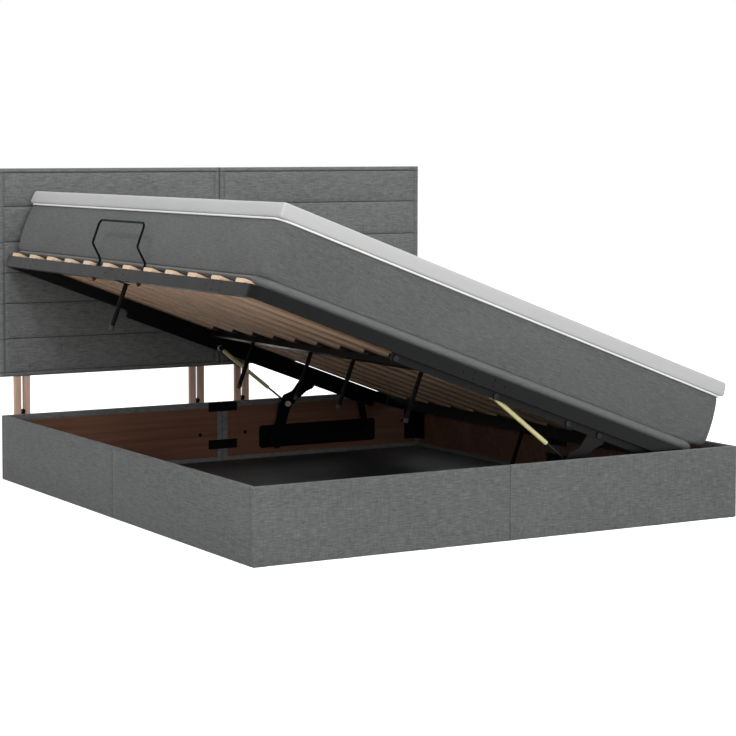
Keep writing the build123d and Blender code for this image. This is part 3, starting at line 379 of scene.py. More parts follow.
@dataclass(frozen=True)
class Knit(Finish):
    """Pale stretch knit of the platform's topper and piping, softly puckered.

    Attributes:
        tone: Colour of the cloth.
    """

    tone: Colour

    ROWS = Layer((9.0, 9.0, 1.4))
    PUCKERS = Layer((60.0, 60.0, 24.0), 1.0)
    LOOPS = Layer.even(1.3, 1.0)
    DRIFT = Layer((320.0, 320.0, 60.0), 1.0)

    def surface(self, graph: Graph) -> dict:
        """Fine knit rows, soft puckers and a faint colour drift."""
        at = graph.place(Lie.RAISED.turn())
        rows, loops, drift = (graph.noise(at, layer) for layer in (self.ROWS, self.LOOPS, self.DRIFT))
        puckers = graph.noise(at, self.PUCKERS) - 0.5
        shades = (shaded(self.tone, 0.93), shaded(self.tone, 1.04))
        return {
            "Base Color": graph.blend(*shades, drift * 0.6 + rows * 0.4),
            "Roughness": 0.82 + (rows - 0.5) * 0.1,
            "Specular IOR Level": 0.3,
            "Sheen Weight": 0.1,
            "Normal": graph.bump(puckers * 2.4 + rows * 0.25 + loops * 0.12, 0.8, 0.5),
        }


@dataclass(frozen=True)
class HardFace(Finish):
    """Coated, plated, pressed or moulded face: cloudy tone, fine relief, perhaps rub marks.

    Attributes:
        tone: Middle colour.
        rough: Roughness.
        cloud: Slow drift of the tone and the roughness.
        spread: Factors of the tone at the low and the high end of the drift.
        sway: Change of the roughness over the drift.
        relief: Fine relief.
        depth: Depth of the relief.
        strength: Strength of the relief.
        relief_share: Share of the relief in the tone.
        rub: Rub marks, or None.
        rub_span: Noise values at which the marks start and are full.
        rub_share: Strength of the marks in the tone.
        rub_rough: Roughness that the marks add.
        ring: Middle of a bare ring at an eye, or None.
        fixed: Names and values of the shader's inputs that don't vary.
    """

    tone: Colour
    rough: float
    cloud: Layer
    spread: tuple[float, float]
    sway: float
    relief: Layer
    depth: float
    strength: float = 0.5
    relief_share: float = 0.0
    rub: Layer | None = None
    rub_span: tuple[float, float] = (0.0, 1.0)
    rub_share: float = 0.0
    rub_rough: float = 0.0
    ring: Point | None = None
    fixed: tuple[tuple[str, float], ...] = ()

    RUB_SHADE = 2.2
    RING_TONE = srgb(214, 210, 190)
    RING_RADIUS, RING_METAL = 13.0, 0.25

    def surface(self, graph: Graph) -> dict:
        """The drift mixes the tone's two shades; marks and ring are laid over it."""
        at = graph.place()
        cloud, relief = graph.noise(at, self.cloud), graph.noise(at, self.relief)
        low, high = (shaded(self.tone, factor) for factor in self.spread)
        colour = graph.blend(low, high, cloud * (1 - self.relief_share) + relief * self.relief_share)
        rough = (cloud - 0.5) * self.sway + self.rough
        inputs: dict = dict(self.fixed)
        if self.rub is not None:
            rub = graph.noise(at, self.rub).span(*self.rub_span)
            colour = graph.blend(colour, shaded(self.tone, self.RUB_SHADE), rub * self.rub_share)
            rough = rough + rub * self.rub_rough
        if self.ring is not None:
            bare = graph.near(at, self.ring, self.RING_RADIUS)
            colour = graph.blend(colour, self.RING_TONE, bare)
            inputs["Metallic"] = bare * self.RING_METAL
        normal = graph.bump(relief, self.depth, self.strength)
        return {"Base Color": colour, "Roughness": rough, "Normal": normal, **inputs}


class Grain(Enum):
    """Direction that the wood's grain runs in."""

    ALONG_X = (1.0, 0.0, 0.0)
    ALONG_Z = (0.0, 0.0, 1.0)

    def layer(self, long: float, wide: float, *values: float) -> Layer:
        """Noise whose grains are long along the grain and wide across it."""
        return Layer(tuple(long if share else wide for share in self.value), *values)


@dataclass(frozen=True)
class Wood(Finish):
    """Planed or veneered wood.

    Attributes:
        light: Colour of the early wood.
        dark: Colour of the late wood.
        grain: Direction of the grain.
        lie: Whether the piece is level or raised.
        rough: Roughness of the face.
        plies: Thickness of a ply seen on the ends, or 0.
        sawn: Colour of the cut ends and edges, partly the pale plies and partly painted light on the lit
            sides, or None where they are as the faces.
    """

    light: Colour
    dark: Colour
    grain: Grain = Grain.ALONG_X
    lie: Lie = Lie.LEVEL
    rough: float = 0.6
    plies: float = 0.0
    sawn: Colour | None = None

    SAWN_SPAN, SAWN_SHADE = (0.75, 0.45), 0.78

    def surface(self, graph: Graph) -> dict:
        """Long warped noise gives the figure, thin streaks the pores, and bands the plies.

        A face whose own normal lies level in the piece, by its share of X and Y, takes the edge colour:
        partly the pale plies, partly painted light on the lit sides against the darker faces.
        """
        at = graph.place(self.lie.turn())
        figure = graph.noise(at, self.grain.layer(420.0, 16.0, 3.0, 0.55, 0.4))
        pores = graph.noise(at, self.grain.layer(38.0, 0.9, 2.0, 0.6))
        board = graph.noise(at, self.grain.layer(1500.0, 70.0, 0.0))
        factor = (figure - 0.5) * 1.5 + (pores - 0.5) * 0.55 + (board - 0.5) * 0.5 + 0.5
        if self.plies:
            factor = factor + graph.ripple(at, "Z", self.plies) * 0.08
        colour = graph.blend(self.dark, self.light, factor)
        # Level-facing ends and edges are painted paler: partly the plies, partly painted light on the lit
        # sides.
        if self.sawn is not None:
            facing = graph.turned(graph.node("ShaderNodeTexCoord", output="Normal"), self.lie.turn())
            edge = graph.part(facing, "Z").size().span(*self.SAWN_SPAN)
            pale = graph.blend(shaded(self.sawn, self.SAWN_SHADE), self.sawn, factor)
            colour = graph.blend(colour, pale, edge)
        return {
            "Base Color": colour,
            "Roughness": self.rough + (pores - 0.5) * 0.25,
            "Specular IOR Level": 0.35,
            "Normal": graph.bump(pores * 0.6 + figure * 0.5, 0.25, 0.5),
        }


GREY = srgb(100, 102, 101)
COVER_LINEN = Linen("base_linen", GREY)
# The headboard's cloth is the base's grey painted lighter, to make up for the shade it stands in behind the
# platform.
HEADBOARD_LINEN = Linen("headboard_linen", shaded(GREY, 1.14), stitches=HEADBOARD_SEAMS)
# The mattress's cloth is the base's grey painted darker, against the extra light its raised faces catch; its
# low band carries a painted highlight.
MATTRESS_LINEN = Linen("mattress_linen", shaded(GREY, 0.86), Lie.RAISED, slub=0.7, band=MATTRESS_SEAM_RAISED)
GREY_FELT = Linen("grey_felt", srgb(104, 106, 105), slub=0.6)
TOPPER_KNIT = Knit("topper_knit", srgb(194, 194, 195))
PIPING_CLOTH = Knit("piping_cloth", srgb(248, 248, 246))
BLACK_COAT = HardFace(
    "black_powder_coat",
    srgb(13, 14, 14),
    rough=0.34,
    cloud=Layer.even(90.0, 3.0),
    spread=(0.8, 1.25),
    sway=0.22,
    relief=Layer.even(1.6, 1.0),
    depth=0.12,
    rub=Layer((7.0, 60.0, 7.0), 3.0, 0.7),
    rub_span=(0.66, 0.78),
    rub_share=0.25,
    rub_rough=0.1,
    fixed=(("IOR", 1.25),),
)


def coat(name: str, tone: Colour, rough: float, ior: float, ring: Point | None = None) -> HardFace:
    """Another coat of the steel: its tone, roughness, refractive index and bare ring."""
    return replace(BLACK_COAT, name=name, tone=tone, rough=rough, ring=ring, fixed=(("IOR", ior),))


MECHANISM_COAT = coat("mechanism_black", srgb(11, 11, 11), 0.42, 1.24)
TUBE_COAT = coat("tube_matt_black", srgb(8, 8, 8), 0.55, 1.16)
ROD_BLACK = coat("strut_rod_black", srgb(18, 18, 18), 0.3, 1.4, STRUT_FOOT_PIN)
STRUT_PAINT = coat("strut_cream", srgb(212, 205, 150), 0.35, 1.45, STRUT_TOP_PIN)
DARK_BOLT = HardFace(
    "dark_bolt",
    srgb(40, 40, 42),
    rough=0.45,
    cloud=Layer.even(6.0, 3.0),
    spread=(0.6, 1.5),
    sway=0.3,
    relief=Layer((0.6, 14.0, 0.6)),
    depth=0.05,
    strength=0.4,
    fixed=(("Metallic", 0.85),),
)
STAPLE_STEEL = replace(DARK_BOLT, name="staple_steel", tone=srgb(140, 140, 140), rough=0.38)
FLOOR_BOARD = HardFace(
    "floor_hardboard",
    srgb(52, 54, 56),
    rough=0.55,
    cloud=Layer((240.0, 160.0, 100.0)),
    spread=(0.7, 1.5),
    sway=0.3,
    relief=Layer.even(5.0, 4.0, 0.7),
    depth=0.15,
    strength=0.4,
    relief_share=0.4,
    rub=Layer((30.0, 400.0, 30.0)),
    rub_span=(0.55, 0.8),
    rub_share=0.35,
    fixed=(("Specular IOR Level", 0.4),),
)
BACK_BOARD = replace(FLOOR_BOARD, name="headboard_back", tone=srgb(60, 60, 62))
BLACK_PLASTIC = HardFace(
    "black_plastic",
    srgb(26, 26, 27),
    rough=0.55,
    cloud=Layer.even(40.0),
    spread=(0.8, 1.3),
    sway=0.2,
    relief=Layer.even(0.7, 1.0),
    depth=0.08,
)
BOARD_WOOD = Wood("panel_board", srgb(116, 82, 66), srgb(78, 54, 42), rough=0.62)
LEG_WOOD = Wood("headboard_leg_wood", srgb(228, 196, 176), srgb(166, 134, 118), Grain.ALONG_Z)
# Its ends and edges are paler: partly the plies, partly painted light on the lit sides against the darker
# undersides.
SLAT_WOOD = Wood(
    "slat_plywood",
    srgb(216, 170, 134),
    srgb(158, 116, 88),
    lie=Lie.RAISED,
    plies=2.0,
    sawn=srgb(244, 214, 184),
)


# ---------------------------------------------------------------- surfaces


def cells(number: Array) -> Array:
    """Quads of a grid of vertex numbers, one row each."""
    corners = (number[:-1, :-1], number[:-1, 1:], number[1:, 1:], number[1:, :-1])
    return np.stack(corners, axis=2).reshape(-1, 4)


def smooth(share: Array) -> Array:
    """Smooth step of a share between 0 and 1."""
    return share * share * (3 - 2 * share)


@dataclass(frozen=True)
class Outline:
    """Round-cornered rectangle as weights, so that many of them are one array.

    A point is side * (half size - corner radius) + turn * corner radius: side goes from 1 to
    -1 along each straight edge and turn is the outward direction at the point.

    Attributes:
        side: Weights of the corner's centre, one row a point.
        turn: Outward direction, one row a point.
    """

    side: Array
    turn: Array

    @classmethod
    def spaced(cls, corner_steps: int, steps_x: int, steps_y: int) -> "Outline":
        """Lays out the points anticlockwise, from the +X end of the first corner.

        Args:
            corner_steps: Steps round each corner.
            steps_x: Steps along the edges that run in X.
            steps_y: Steps along the edges that run in Y.

        Returns:
            The outline.
        """
        signs = np.array(((1, 1), (-1, 1), (-1, -1), (1, -1)), float)
        sides, turns = [], []
        for corner in range(4):
            angle = np.linspace(0, math.pi / 2, corner_steps + 1) + corner * math.pi / 2
            turn = np.column_stack((np.cos(angle), np.sin(angle)))
            steps = steps_x if corner % 2 == 0 else steps_y
            share = np.linspace(0, 1, steps + 1)[1:-1, None]
            here, onward = signs[corner], signs[(corner + 1) % 4]
            sides += [np.tile(here, (len(angle), 1)), here * (1 - share) + onward * share]
            turns += [turn, np.tile(turn[-1], (len(share), 1))]
        return cls(np.concatenate(sides), np.concatenate(turns))

    def rings(self, table: Array) -> Array:
        """Stacked rings of one cushion or cover.

        Args:
            table: One row a ring: middle x, middle y, half x, half y, corner radius, height and
                scale about the middle.

        Returns:
            Points, ring by ring, as an array of rings x points x 3.
        """
        mid_x, mid_y, half_x, half_y, corner, height, scale = (column[:, None] for column in table.T)
        x = mid_x + scale * (self.side[:, 0] * (half_x - corner) + self.turn[:, 0] * corner)
        y = mid_y + scale * (self.side[:, 1] * (half_y - corner) + self.turn[:, 1] * corner)
        return np.stack((x, y, np.broadcast_to(height, x.shape)), axis=2)


@dataclass
class Skin:
    """A closed mesh surface in millimetres.

    Attributes:
        points: Vertices, one row each.
        faces: Lists of vertex numbers.
    """

    points: Array
    faces: list[list[int]]

    @classmethod
    def from_rings(cls, rings: Array) -> "Skin":
        """Joins stacked rings by quads and closes both ends with a fan on a middle point."""
        count, around = rings.shape[:2]
        number = np.arange(count * around).reshape(count, around)
        onward = np.roll(number, -1, axis=1)
        quads = cells(np.pad(number, ((0, 0), (0, 1)), "wrap"))
        poles = np.stack((rings[0].mean(axis=0), rings[-1].mean(axis=0)))
        low, high = count * around, count * around + 1
        low_fan = np.column_stack((np.full(around, low), onward[0], number[0]))
        high_fan = np.column_stack((np.full(around, high), number[-1], onward[-1]))
        points = np.concatenate((rings.reshape(-1, 3), poles))
        return cls(points, [*quads.tolist(), *low_fan.tolist(), *high_fan.tolist()])

    @classmethod
    def from_loop_grid(cls, grid: Array) -> "Skin":
        """Tube: a grid that closes on itself in both directions."""
        count, around = grid.shape[:2]
        number = np.arange(count * around).reshape(count, around)
        return cls(grid.reshape(-1, 3), cells(np.pad(number, (0, 1), "wrap")).tolist())

    @classmethod
    def from_sheets(cls, front: Array, back: Array) -> "Skin":
        """Pad between a front and a back sheet on the same grid, closed by strips at the edges."""
        rows, columns = front.shape[:2]
        shift = rows * columns
        number = np.arange(shift).reshape(rows, columns)
        rim = np.concatenate((number[0, :-1], number[:-1, -1], number[-1, :0:-1], number[:0:-1, 0]))
        onward = np.roll(rim, -1)
        strip = np.column_stack((rim, rim + shift, onward + shift, onward))
        quads = np.concatenate((cells(number), cells(number + shift)[:, ::-1], strip))
        return cls(np.concatenate((front.reshape(-1, 3), back.reshape(-1, 3))), quads.tolist())

    def volume(self) -> float:
        """Signed volume: positive when the faces point outward (fans of triangles to the origin)."""
        total = 0.0
        for corners in (3, 4):
            ring = np.array([face for face in self.faces if len(face) == corners], int)
            for second in range(1, corners - 1):
                if len(ring):
                    a, b, c = (self.points[ring[:, k]] for k in (0, second, second + 1))
                    total += float(np.einsum("ij,ij->i", a, np.cross(b, c)).sum()) / 6
        return total

    def raised(self) -> "Skin":
        """The same surface turned and moved with the platform from shut to raised."""
        x, y, z = (self.points - np.array(PIVOT_SHUT)).T
        cos, sin = math.cos(TILT), math.sin(TILT)
        turned = np.column_stack((x * cos + z * sin, y, z * cos - x * sin))
        return Skin(turned + np.array(PIVOT_RAISED), self.faces)

    def piece(
        self, name: str, finish: Finish, slot: str, body: str, crease: float = 40.0
    ) -> bpy.types.Object:
        """Makes the Blender object of the surface and hangs it on its body.

        Args:
            name: Name of the object.
            finish: Finish that it gets.
            slot: Material slot of the record; not used.
            body: Body that it moves with.
            crease: Angle in degrees above which an edge stays sharp.

        Returns:
            The object.
        """
        faces = self.faces if self.volume() > 0 else [face[::-1] for face in self.faces]
        mesh = bpy.data.meshes.new(name)
        mesh.from_pydata((self.points * MM).tolist(), [], faces)
        mesh.shade_smooth()
        mesh.set_sharp_from_angle(angle=math.radians(crease))
        mesh.materials.append(finish.material())
        made = add_object(name, mesh)
        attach(made, body)
        log.info("%s: %d faces", name, len(faces))
        return made


def uneven(along: Array, across: Array, *lengths: float) -> Array:
    """Mean of slow sine waves, each a product of one wave along and one across.

    Args:
        along: Distance along the piece in millimetres.
        across: Distance across it.
        lengths: Wave lengths along; each wave has a fixed phase and is longer across.

    Returns:
        Values between about -1 and 1.
    """
    first_phase, phase_step, stretch = 0.4, 1.7, 1.7
    total = np.zeros(np.broadcast(along, across).shape)
    for index, length in enumerate(lengths):
        phase = phase_step * index + first_phase
        wave = np.sin(FULL_TURN * along / length + phase)
        total += wave * np.cos(FULL_TURN * across / (stretch * length) + 2 * phase)
    return total / len(lengths)


# ---------------------------------------------------------------- base box


@dataclass
class BaseBox:
    """Covers and staples of four upholstered panels, each in two halves.

    Attributes:
        half_width: Half of the base's width.
        half_length: Half of the base's length.
        thickness: Thickness of an upholstered panel.
        bottom: Height of the cloth's lower edge, which the floor pads press into.
        top: Height of the panels' upper edge.
        edge: Rounding of the cloth at the board's edges.
        gap: Half of the gap between two covers where they meet.
        cloth: Thickness of the cloth.
        fold: Width of the cloth that is turned in.
        staple_pitch: Distance between staples.
        staple_start: Distance of the first staple from a half panel's end.
        staple_inset: Distance of the staples from the panel's long edges.
        staple_half: Half length of a staple.
    """

    half_width: float = 915.0
    half_length: float = 1015.0
    thickness: float = 18.0
    bottom: float = 1.0
    top: float = 241.0
    edge: float = 3.6
    gap: float = 0.5
    cloth: float = 1.4
    fold: float = 22.0
    staple_pitch: float = 83.0
    staple_start: float = 50.0
    staple_inset: float = 14.0
    staple_half: float = 4.5

    OUTLINE = Outline.spaced(3, 90, 24)

    def places(self) -> dict[str, tuple[float, float, float, float]]:
        """Start corner x and y, turn in degrees and length of each half panel, by cover's name."""
        wide, long = self.half_width, self.half_length
        side = long - self.thickness
        return {
            "foot_cover_left": (-wide, -long, 0.0, wide),
            "foot_cover_right": (0.0, -long, 0.0, wide),
            "head_cover_left": (0.0, long, 180.0, wide),
            "head_cover_right": (wide, long, 180.0, wide),
            "left_cover_foot": (-wide, 0.0, -90.0, side),
            "left_cover_head": (-wide, side, -90.0, side),
            "right_cover_foot": (wide, -side, 90.0, side),
            "right_cover_head": (wide, 0.0, 90.0, side),
        }

    @staticmethod
    def _placed(points: Array, place: tuple[float, float, float, float]) -> Array:
        """Points of a panel (length, depth, height) turned and moved to its place."""
        x0, y0, turn, _ = place
        cos, sin = math.cos(math.radians(turn)), math.sin(math.radians(turn))
        x, y, z = points.T
        return np.column_stack((x0 + x * cos - y * sin, y0 + x * sin + y * cos, z))

    def cover(self, length: float) -> Skin:
        """Cloth wrapped round a board and folded in.

        Rings of the panel's outline go from the middle of the outer face over its rounded
        edges to the fold, and back on the board's side to the middle of the inner layer.
        """
        arc = np.radians((0.0, 30.0, 60.0, 90.0))
        rise, draw = self.edge * (1 - np.cos(arc)), self.edge * (1 - np.sin(arc))
        deep, cloth = self.thickness, self.cloth
        inner = deep - cloth
        rows = [(scale, self.edge, 0.0) for scale in (0.3, 0.6, 0.8, 0.93)]
        rows += [(1.0, inset, depth) for inset, depth in zip(draw, rise)]
        rows += [(1.0, 0.0, deep / 2)]
        rows += [(1.0, inset, deep - depth) for inset, depth in zip(draw[::-1], rise[::-1])]
        rows += [(1.0, self.fold - 1.0, deep), (1.0, self.fold, deep - 0.4), (1.0, self.fold, inner)]
        rows += [(1.0, cloth, inner), *[(scale, cloth, cloth) for scale in (1.0, 0.9, 0.5)]]
        scale, inset, depth = np.array(rows).T
        half, tall = length / 2, (self.top - self.bottom) / 2
        corner = np.clip(self.edge - inset * 0.3, 1.0, self.edge)
        columns = (
            np.full(len(rows), half),
            np.full(len(rows), self.bottom + tall),
            half - self.gap - inset,
            tall - inset,
            corner,
            depth,
            scale,
        )
        x, z, y = np.moveaxis(self.OUTLINE.rings(np.column_stack(columns)), 2, 0)
        face = (depth < 1.0) & (scale < 0.99)
        y = y + np.where(face[:, None], 0.5 * uneven(x, z, 410.0, 230.0, 150.0), 0.0)
        rim = (inset > self.fold - 2.0) & (depth > deep / 2)
        z = z + np.where(rim[:, None], 0.9 * uneven(x, z, 190.0, 83.0, 47.0), 0.0)
        return Skin.from_rings(np.stack((x, y, z), axis=2))

    def build_covers(self) -> None:
        """Makes the eight covers."""
        for name, place in self.places().items():
            skin = self.cover(place[3])
            skin.points = self._placed(skin.points, place)
            piece = skin.piece(f"{name}_cloth", COVER_LINEN, "fabric", "base")
            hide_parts(name)

    def build_staples(self) -> None:
        """Staples along the turned-in cloth: a six-sided bar each, in one mesh.

        A staple's section is a flat hexagon carried from one end to the other, its ends bent
        into the cloth; the places are an arithmetic row along each panel.
        """
        angle = np.arange(6) * math.pi / 3
        section = np.column_stack((0.45 * np.cos(angle), 0.55 * np.sin(angle)))
        ends = self.staple_half * np.array((-1.0, -0.8, 0.8, 1.0))[:, None]
        bend = 0.7 * np.array((1.0, 0.0, 0.0, 1.0))[:, None]
        depth = self.thickness + 0.35 - bend + section[:, 0]
        bar = Skin.from_rings(np.stack((ends + 0 * depth, depth, section[:, 1] + 0 * ends), 2))
        points, faces = [], []
        for place in self.places().values():
            count = int((place[3] - 2 * self.staple_start) // self.staple_pitch) + 1
            along = self.staple_start + np.arange(count) * self.staple_pitch
            rows = np.repeat((self.top - self.staple_inset, self.bottom + self.staple_inset), count)
            shift = np.column_stack((np.tile(along, 2), np.zeros(2 * count), rows))
            row = (bar.points[None] + shift[:, None]).reshape(-1, 3)
            base = sum(len(block) for block in points)
            offsets = base + np.arange(2 * count) * len(bar.points)
            faces += [[corner + int(offset) for corner in face] for offset in offsets for face in bar.faces]
            points.append(self._placed(row, place))
        staples = Skin(np.concatenate(points), faces)
        staples.piece("cover_staples", STAPLE_STEEL, "bolt_steel", "base")

    def build(self) -> None:
        """Makes the covers and staples."""
        self.build_covers()
        self.build_staples()


# ---------------------------------------------------------------- headboard


@dataclass
class Headboard:
    """Two channelled cushions, hollow behind for the legs.

    Attributes:
        front: Y of the crowns of the channels.
        back: Y of the cushions' back.
        bottom: Height of the lower edge.
        top: Height of the upper edge.
        inner: Distance of a half's inner edge from the middle.
        outer: Distance of its outer edge.
        crown: Height of a channel over its seams.
        taper: Length over which a channel fades at its ends.
        seams: Heights of the seams between the channels.
        groove_half: Half width of the grooves at seams and border.
        groove_depth: Depth of those grooves.
        top_border: Width of the border along the top and bottom.
        side_border: Width of the border along the sides.
        border_pad: Height of the border's padding.
        rounding: Rounding of the outer edges.
        leg_places: X of the legs.
        leg_half: Half width of a leg's pocket.
        leg_top: Height of a pocket's top.
        pocket_front: Y of a pocket's front wall.
        wall: Width over which a pocket's wall stands.
        column_start: Distance of the first even grid column from a half's edge.
        column_pitch: Distance between those columns.
    """

    front: float = 1011.0
    back: float = 1042.9
    bottom: float = 383.0
    top: float = 1161.0
    inner: float = 1.0
    outer: float = 915.0
    crown: float = 5.4
    taper: float = 16.0
    seams: tuple[float, ...] = HEADBOARD_SEAMS[1:-1]
    groove_half: float = 1.7
    groove_depth: float = 2.2
    top_border: float = 16.0
    side_border: float = 20.0
    border_pad: float = 3.4
    rounding: float = 6.0
    leg_places: tuple[float, ...] = (-827.0, -99.0, 99.0, 827.0)
    leg_half: float = 32.0
    leg_top: float = 731.0
    pocket_front: float = 1019.4
    wall: float = 0.1
    column_start: float = 45.0
    column_pitch: float = 11.0

    def _marks(self) -> list[float]:
        """Heights of the border lines and seams, from the bottom up."""
        return [self.bottom + self.top_border, *self.seams, self.top - self.top_border]

    def _lines(self, low: float, high: float, marks: list[float], steps: int) -> Array:
        """Grid lines from low to high, close together at the ends and at the marks.

        Between neighbouring marks the share goes as half of one minus the cosine.
        """
        share = 0.5 * (1 - np.cos(np.linspace(0, math.pi, steps + 1)))
        edges = [low + self.rounding, *marks, high - self.rounding]
        spans = [a + (b - a) * share for a, b in zip(edges, edges[1:])]
        arc = self.rounding * (1 - np.cos(np.linspace(0, math.pi / 2, 5)))
        lines = np.concatenate((low + arc, *spans, high - arc))
        return np.unique(np.round(lines, 3))

    def _recess(self, x: Array, z: Array, x0: float, x1: float) -> Array:
        """Depth of the front sheet behind the crowns.

        Each channel is a flat-topped arch between its seams that tapers at its ends; the seams
        and the border lines are narrow pulled-in grooves with small puckers along them.
        """
        lines = np.array(self._marks())
        side_low, side_high = x0 + self.side_border, x1 - self.side_border
        place = np.clip(np.searchsorted(lines, z) - 1, 0, len(lines) - 2)
        share = np.clip((z - lines[place]) / (lines[place + 1] - lines[place]), 0, 1)
        between = (z > lines[0]) & (z < lines[-1])
        beside = (x > side_low) & (x < side_high)
        inside = between & beside
        from_end = np.clip(np.minimum(x - side_low, side_high - x) / self.taper, 0, 1)
        taper = np.sqrt(1 - (1 - from_end) ** 2)
        arch = (1 - np.abs(2 * share - 1) ** 4.0) * taper
        depth = self.crown - self.crown * np.where(inside, arch, 0.0)
        nearest = np.abs(z[..., None] - lines).min(axis=-1)
        seam = np.where(beside, np.exp(-((nearest / self.groove_half) ** 2)), 0.0)
        upright = np.minimum(np.abs(x - side_low), np.abs(x - side_high))
        border = np.where(between, np.exp(-((upright / self.groove_half) ** 2)), 0.0)
        depth = depth + self.groove_depth * np.maximum(seam * (0.45 + 0.55 * taper), border * 0.7)
        pucker = uneven(x, z * 0.2, 31.0, 19.0, 47.0) * np.exp(-nearest / 13.0)
        depth = depth + np.where(inside, 0.55 * pucker, 0.0) + 0.5 * uneven(x, z, 330.0, 210.0)
        rim = np.minimum(np.minimum(x - x0, x1 - x), np.minimum(z - self.bottom, self.top - z))
        pad = np.clip(1 - np.abs(rim - self.side_border / 2) / (self.side_border / 2), 0, 1)
        depth = depth - np.where(inside, 0.0, self.border_pad * pad)
        edge = np.clip(self.rounding - rim, 0, self.rounding)
        return depth + self.rounding - np.sqrt(np.maximum(self.rounding**2 - edge**2, 0))

    def cushion(self, x0: float, x1: float) -> Skin:
        """One half: the channelled front sheet and a back sheet with grooves for the legs."""
        pockets = [c for c in self.leg_places if x0 < c < x1]
        walls = [c + s * (self.leg_half + w) for c in pockets for s in (-1, 1) for w in (0.0, self.wall)]
        columns = np.arange(x0 + self.column_start, x1 - self.column_start, self.column_pitch)
        x_marks = sorted([x0 + self.side_border, x1 - self.side_border, *walls])
        x_lines = np.unique(np.concatenate((self._lines(x0, x1, x_marks, 8), columns)))
        z_marks = sorted([*self._marks(), self.leg_top, self.leg_top + self.wall])
        x, z = np.meshgrid(x_lines, self._lines(self.bottom, self.top, z_marks, 16))
        front = self.front + self._recess(x, z, x0, x1)
        back = np.full_like(x, self.back)
        for centre in pockets:
            pocket = (np.abs(x - centre) < self.leg_half + self.wall / 2) & (z < self.leg_top + self.wall / 2)
            back = np.where(pocket, self.pocket_front, back)
        return Skin.from_sheets(np.stack((x, front, z), axis=2), np.stack((x, back, z), axis=2))

    def build(self) -> None:
        """Makes both cushions."""
        for side, (x0, x1) in zip(SIDES, ((-self.outer, -self.inner), (self.inner, self.outer))):
            name = f"headboard_cushion_{side}"
            skin = self.cushion(x0, x1)
            piece = skin.piece(f"{name}_cloth", HEADBOARD_LINEN, "headboard_fabric", "base", 50.0)
            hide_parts(name)


# ---------------------------------------------------------------- bedding


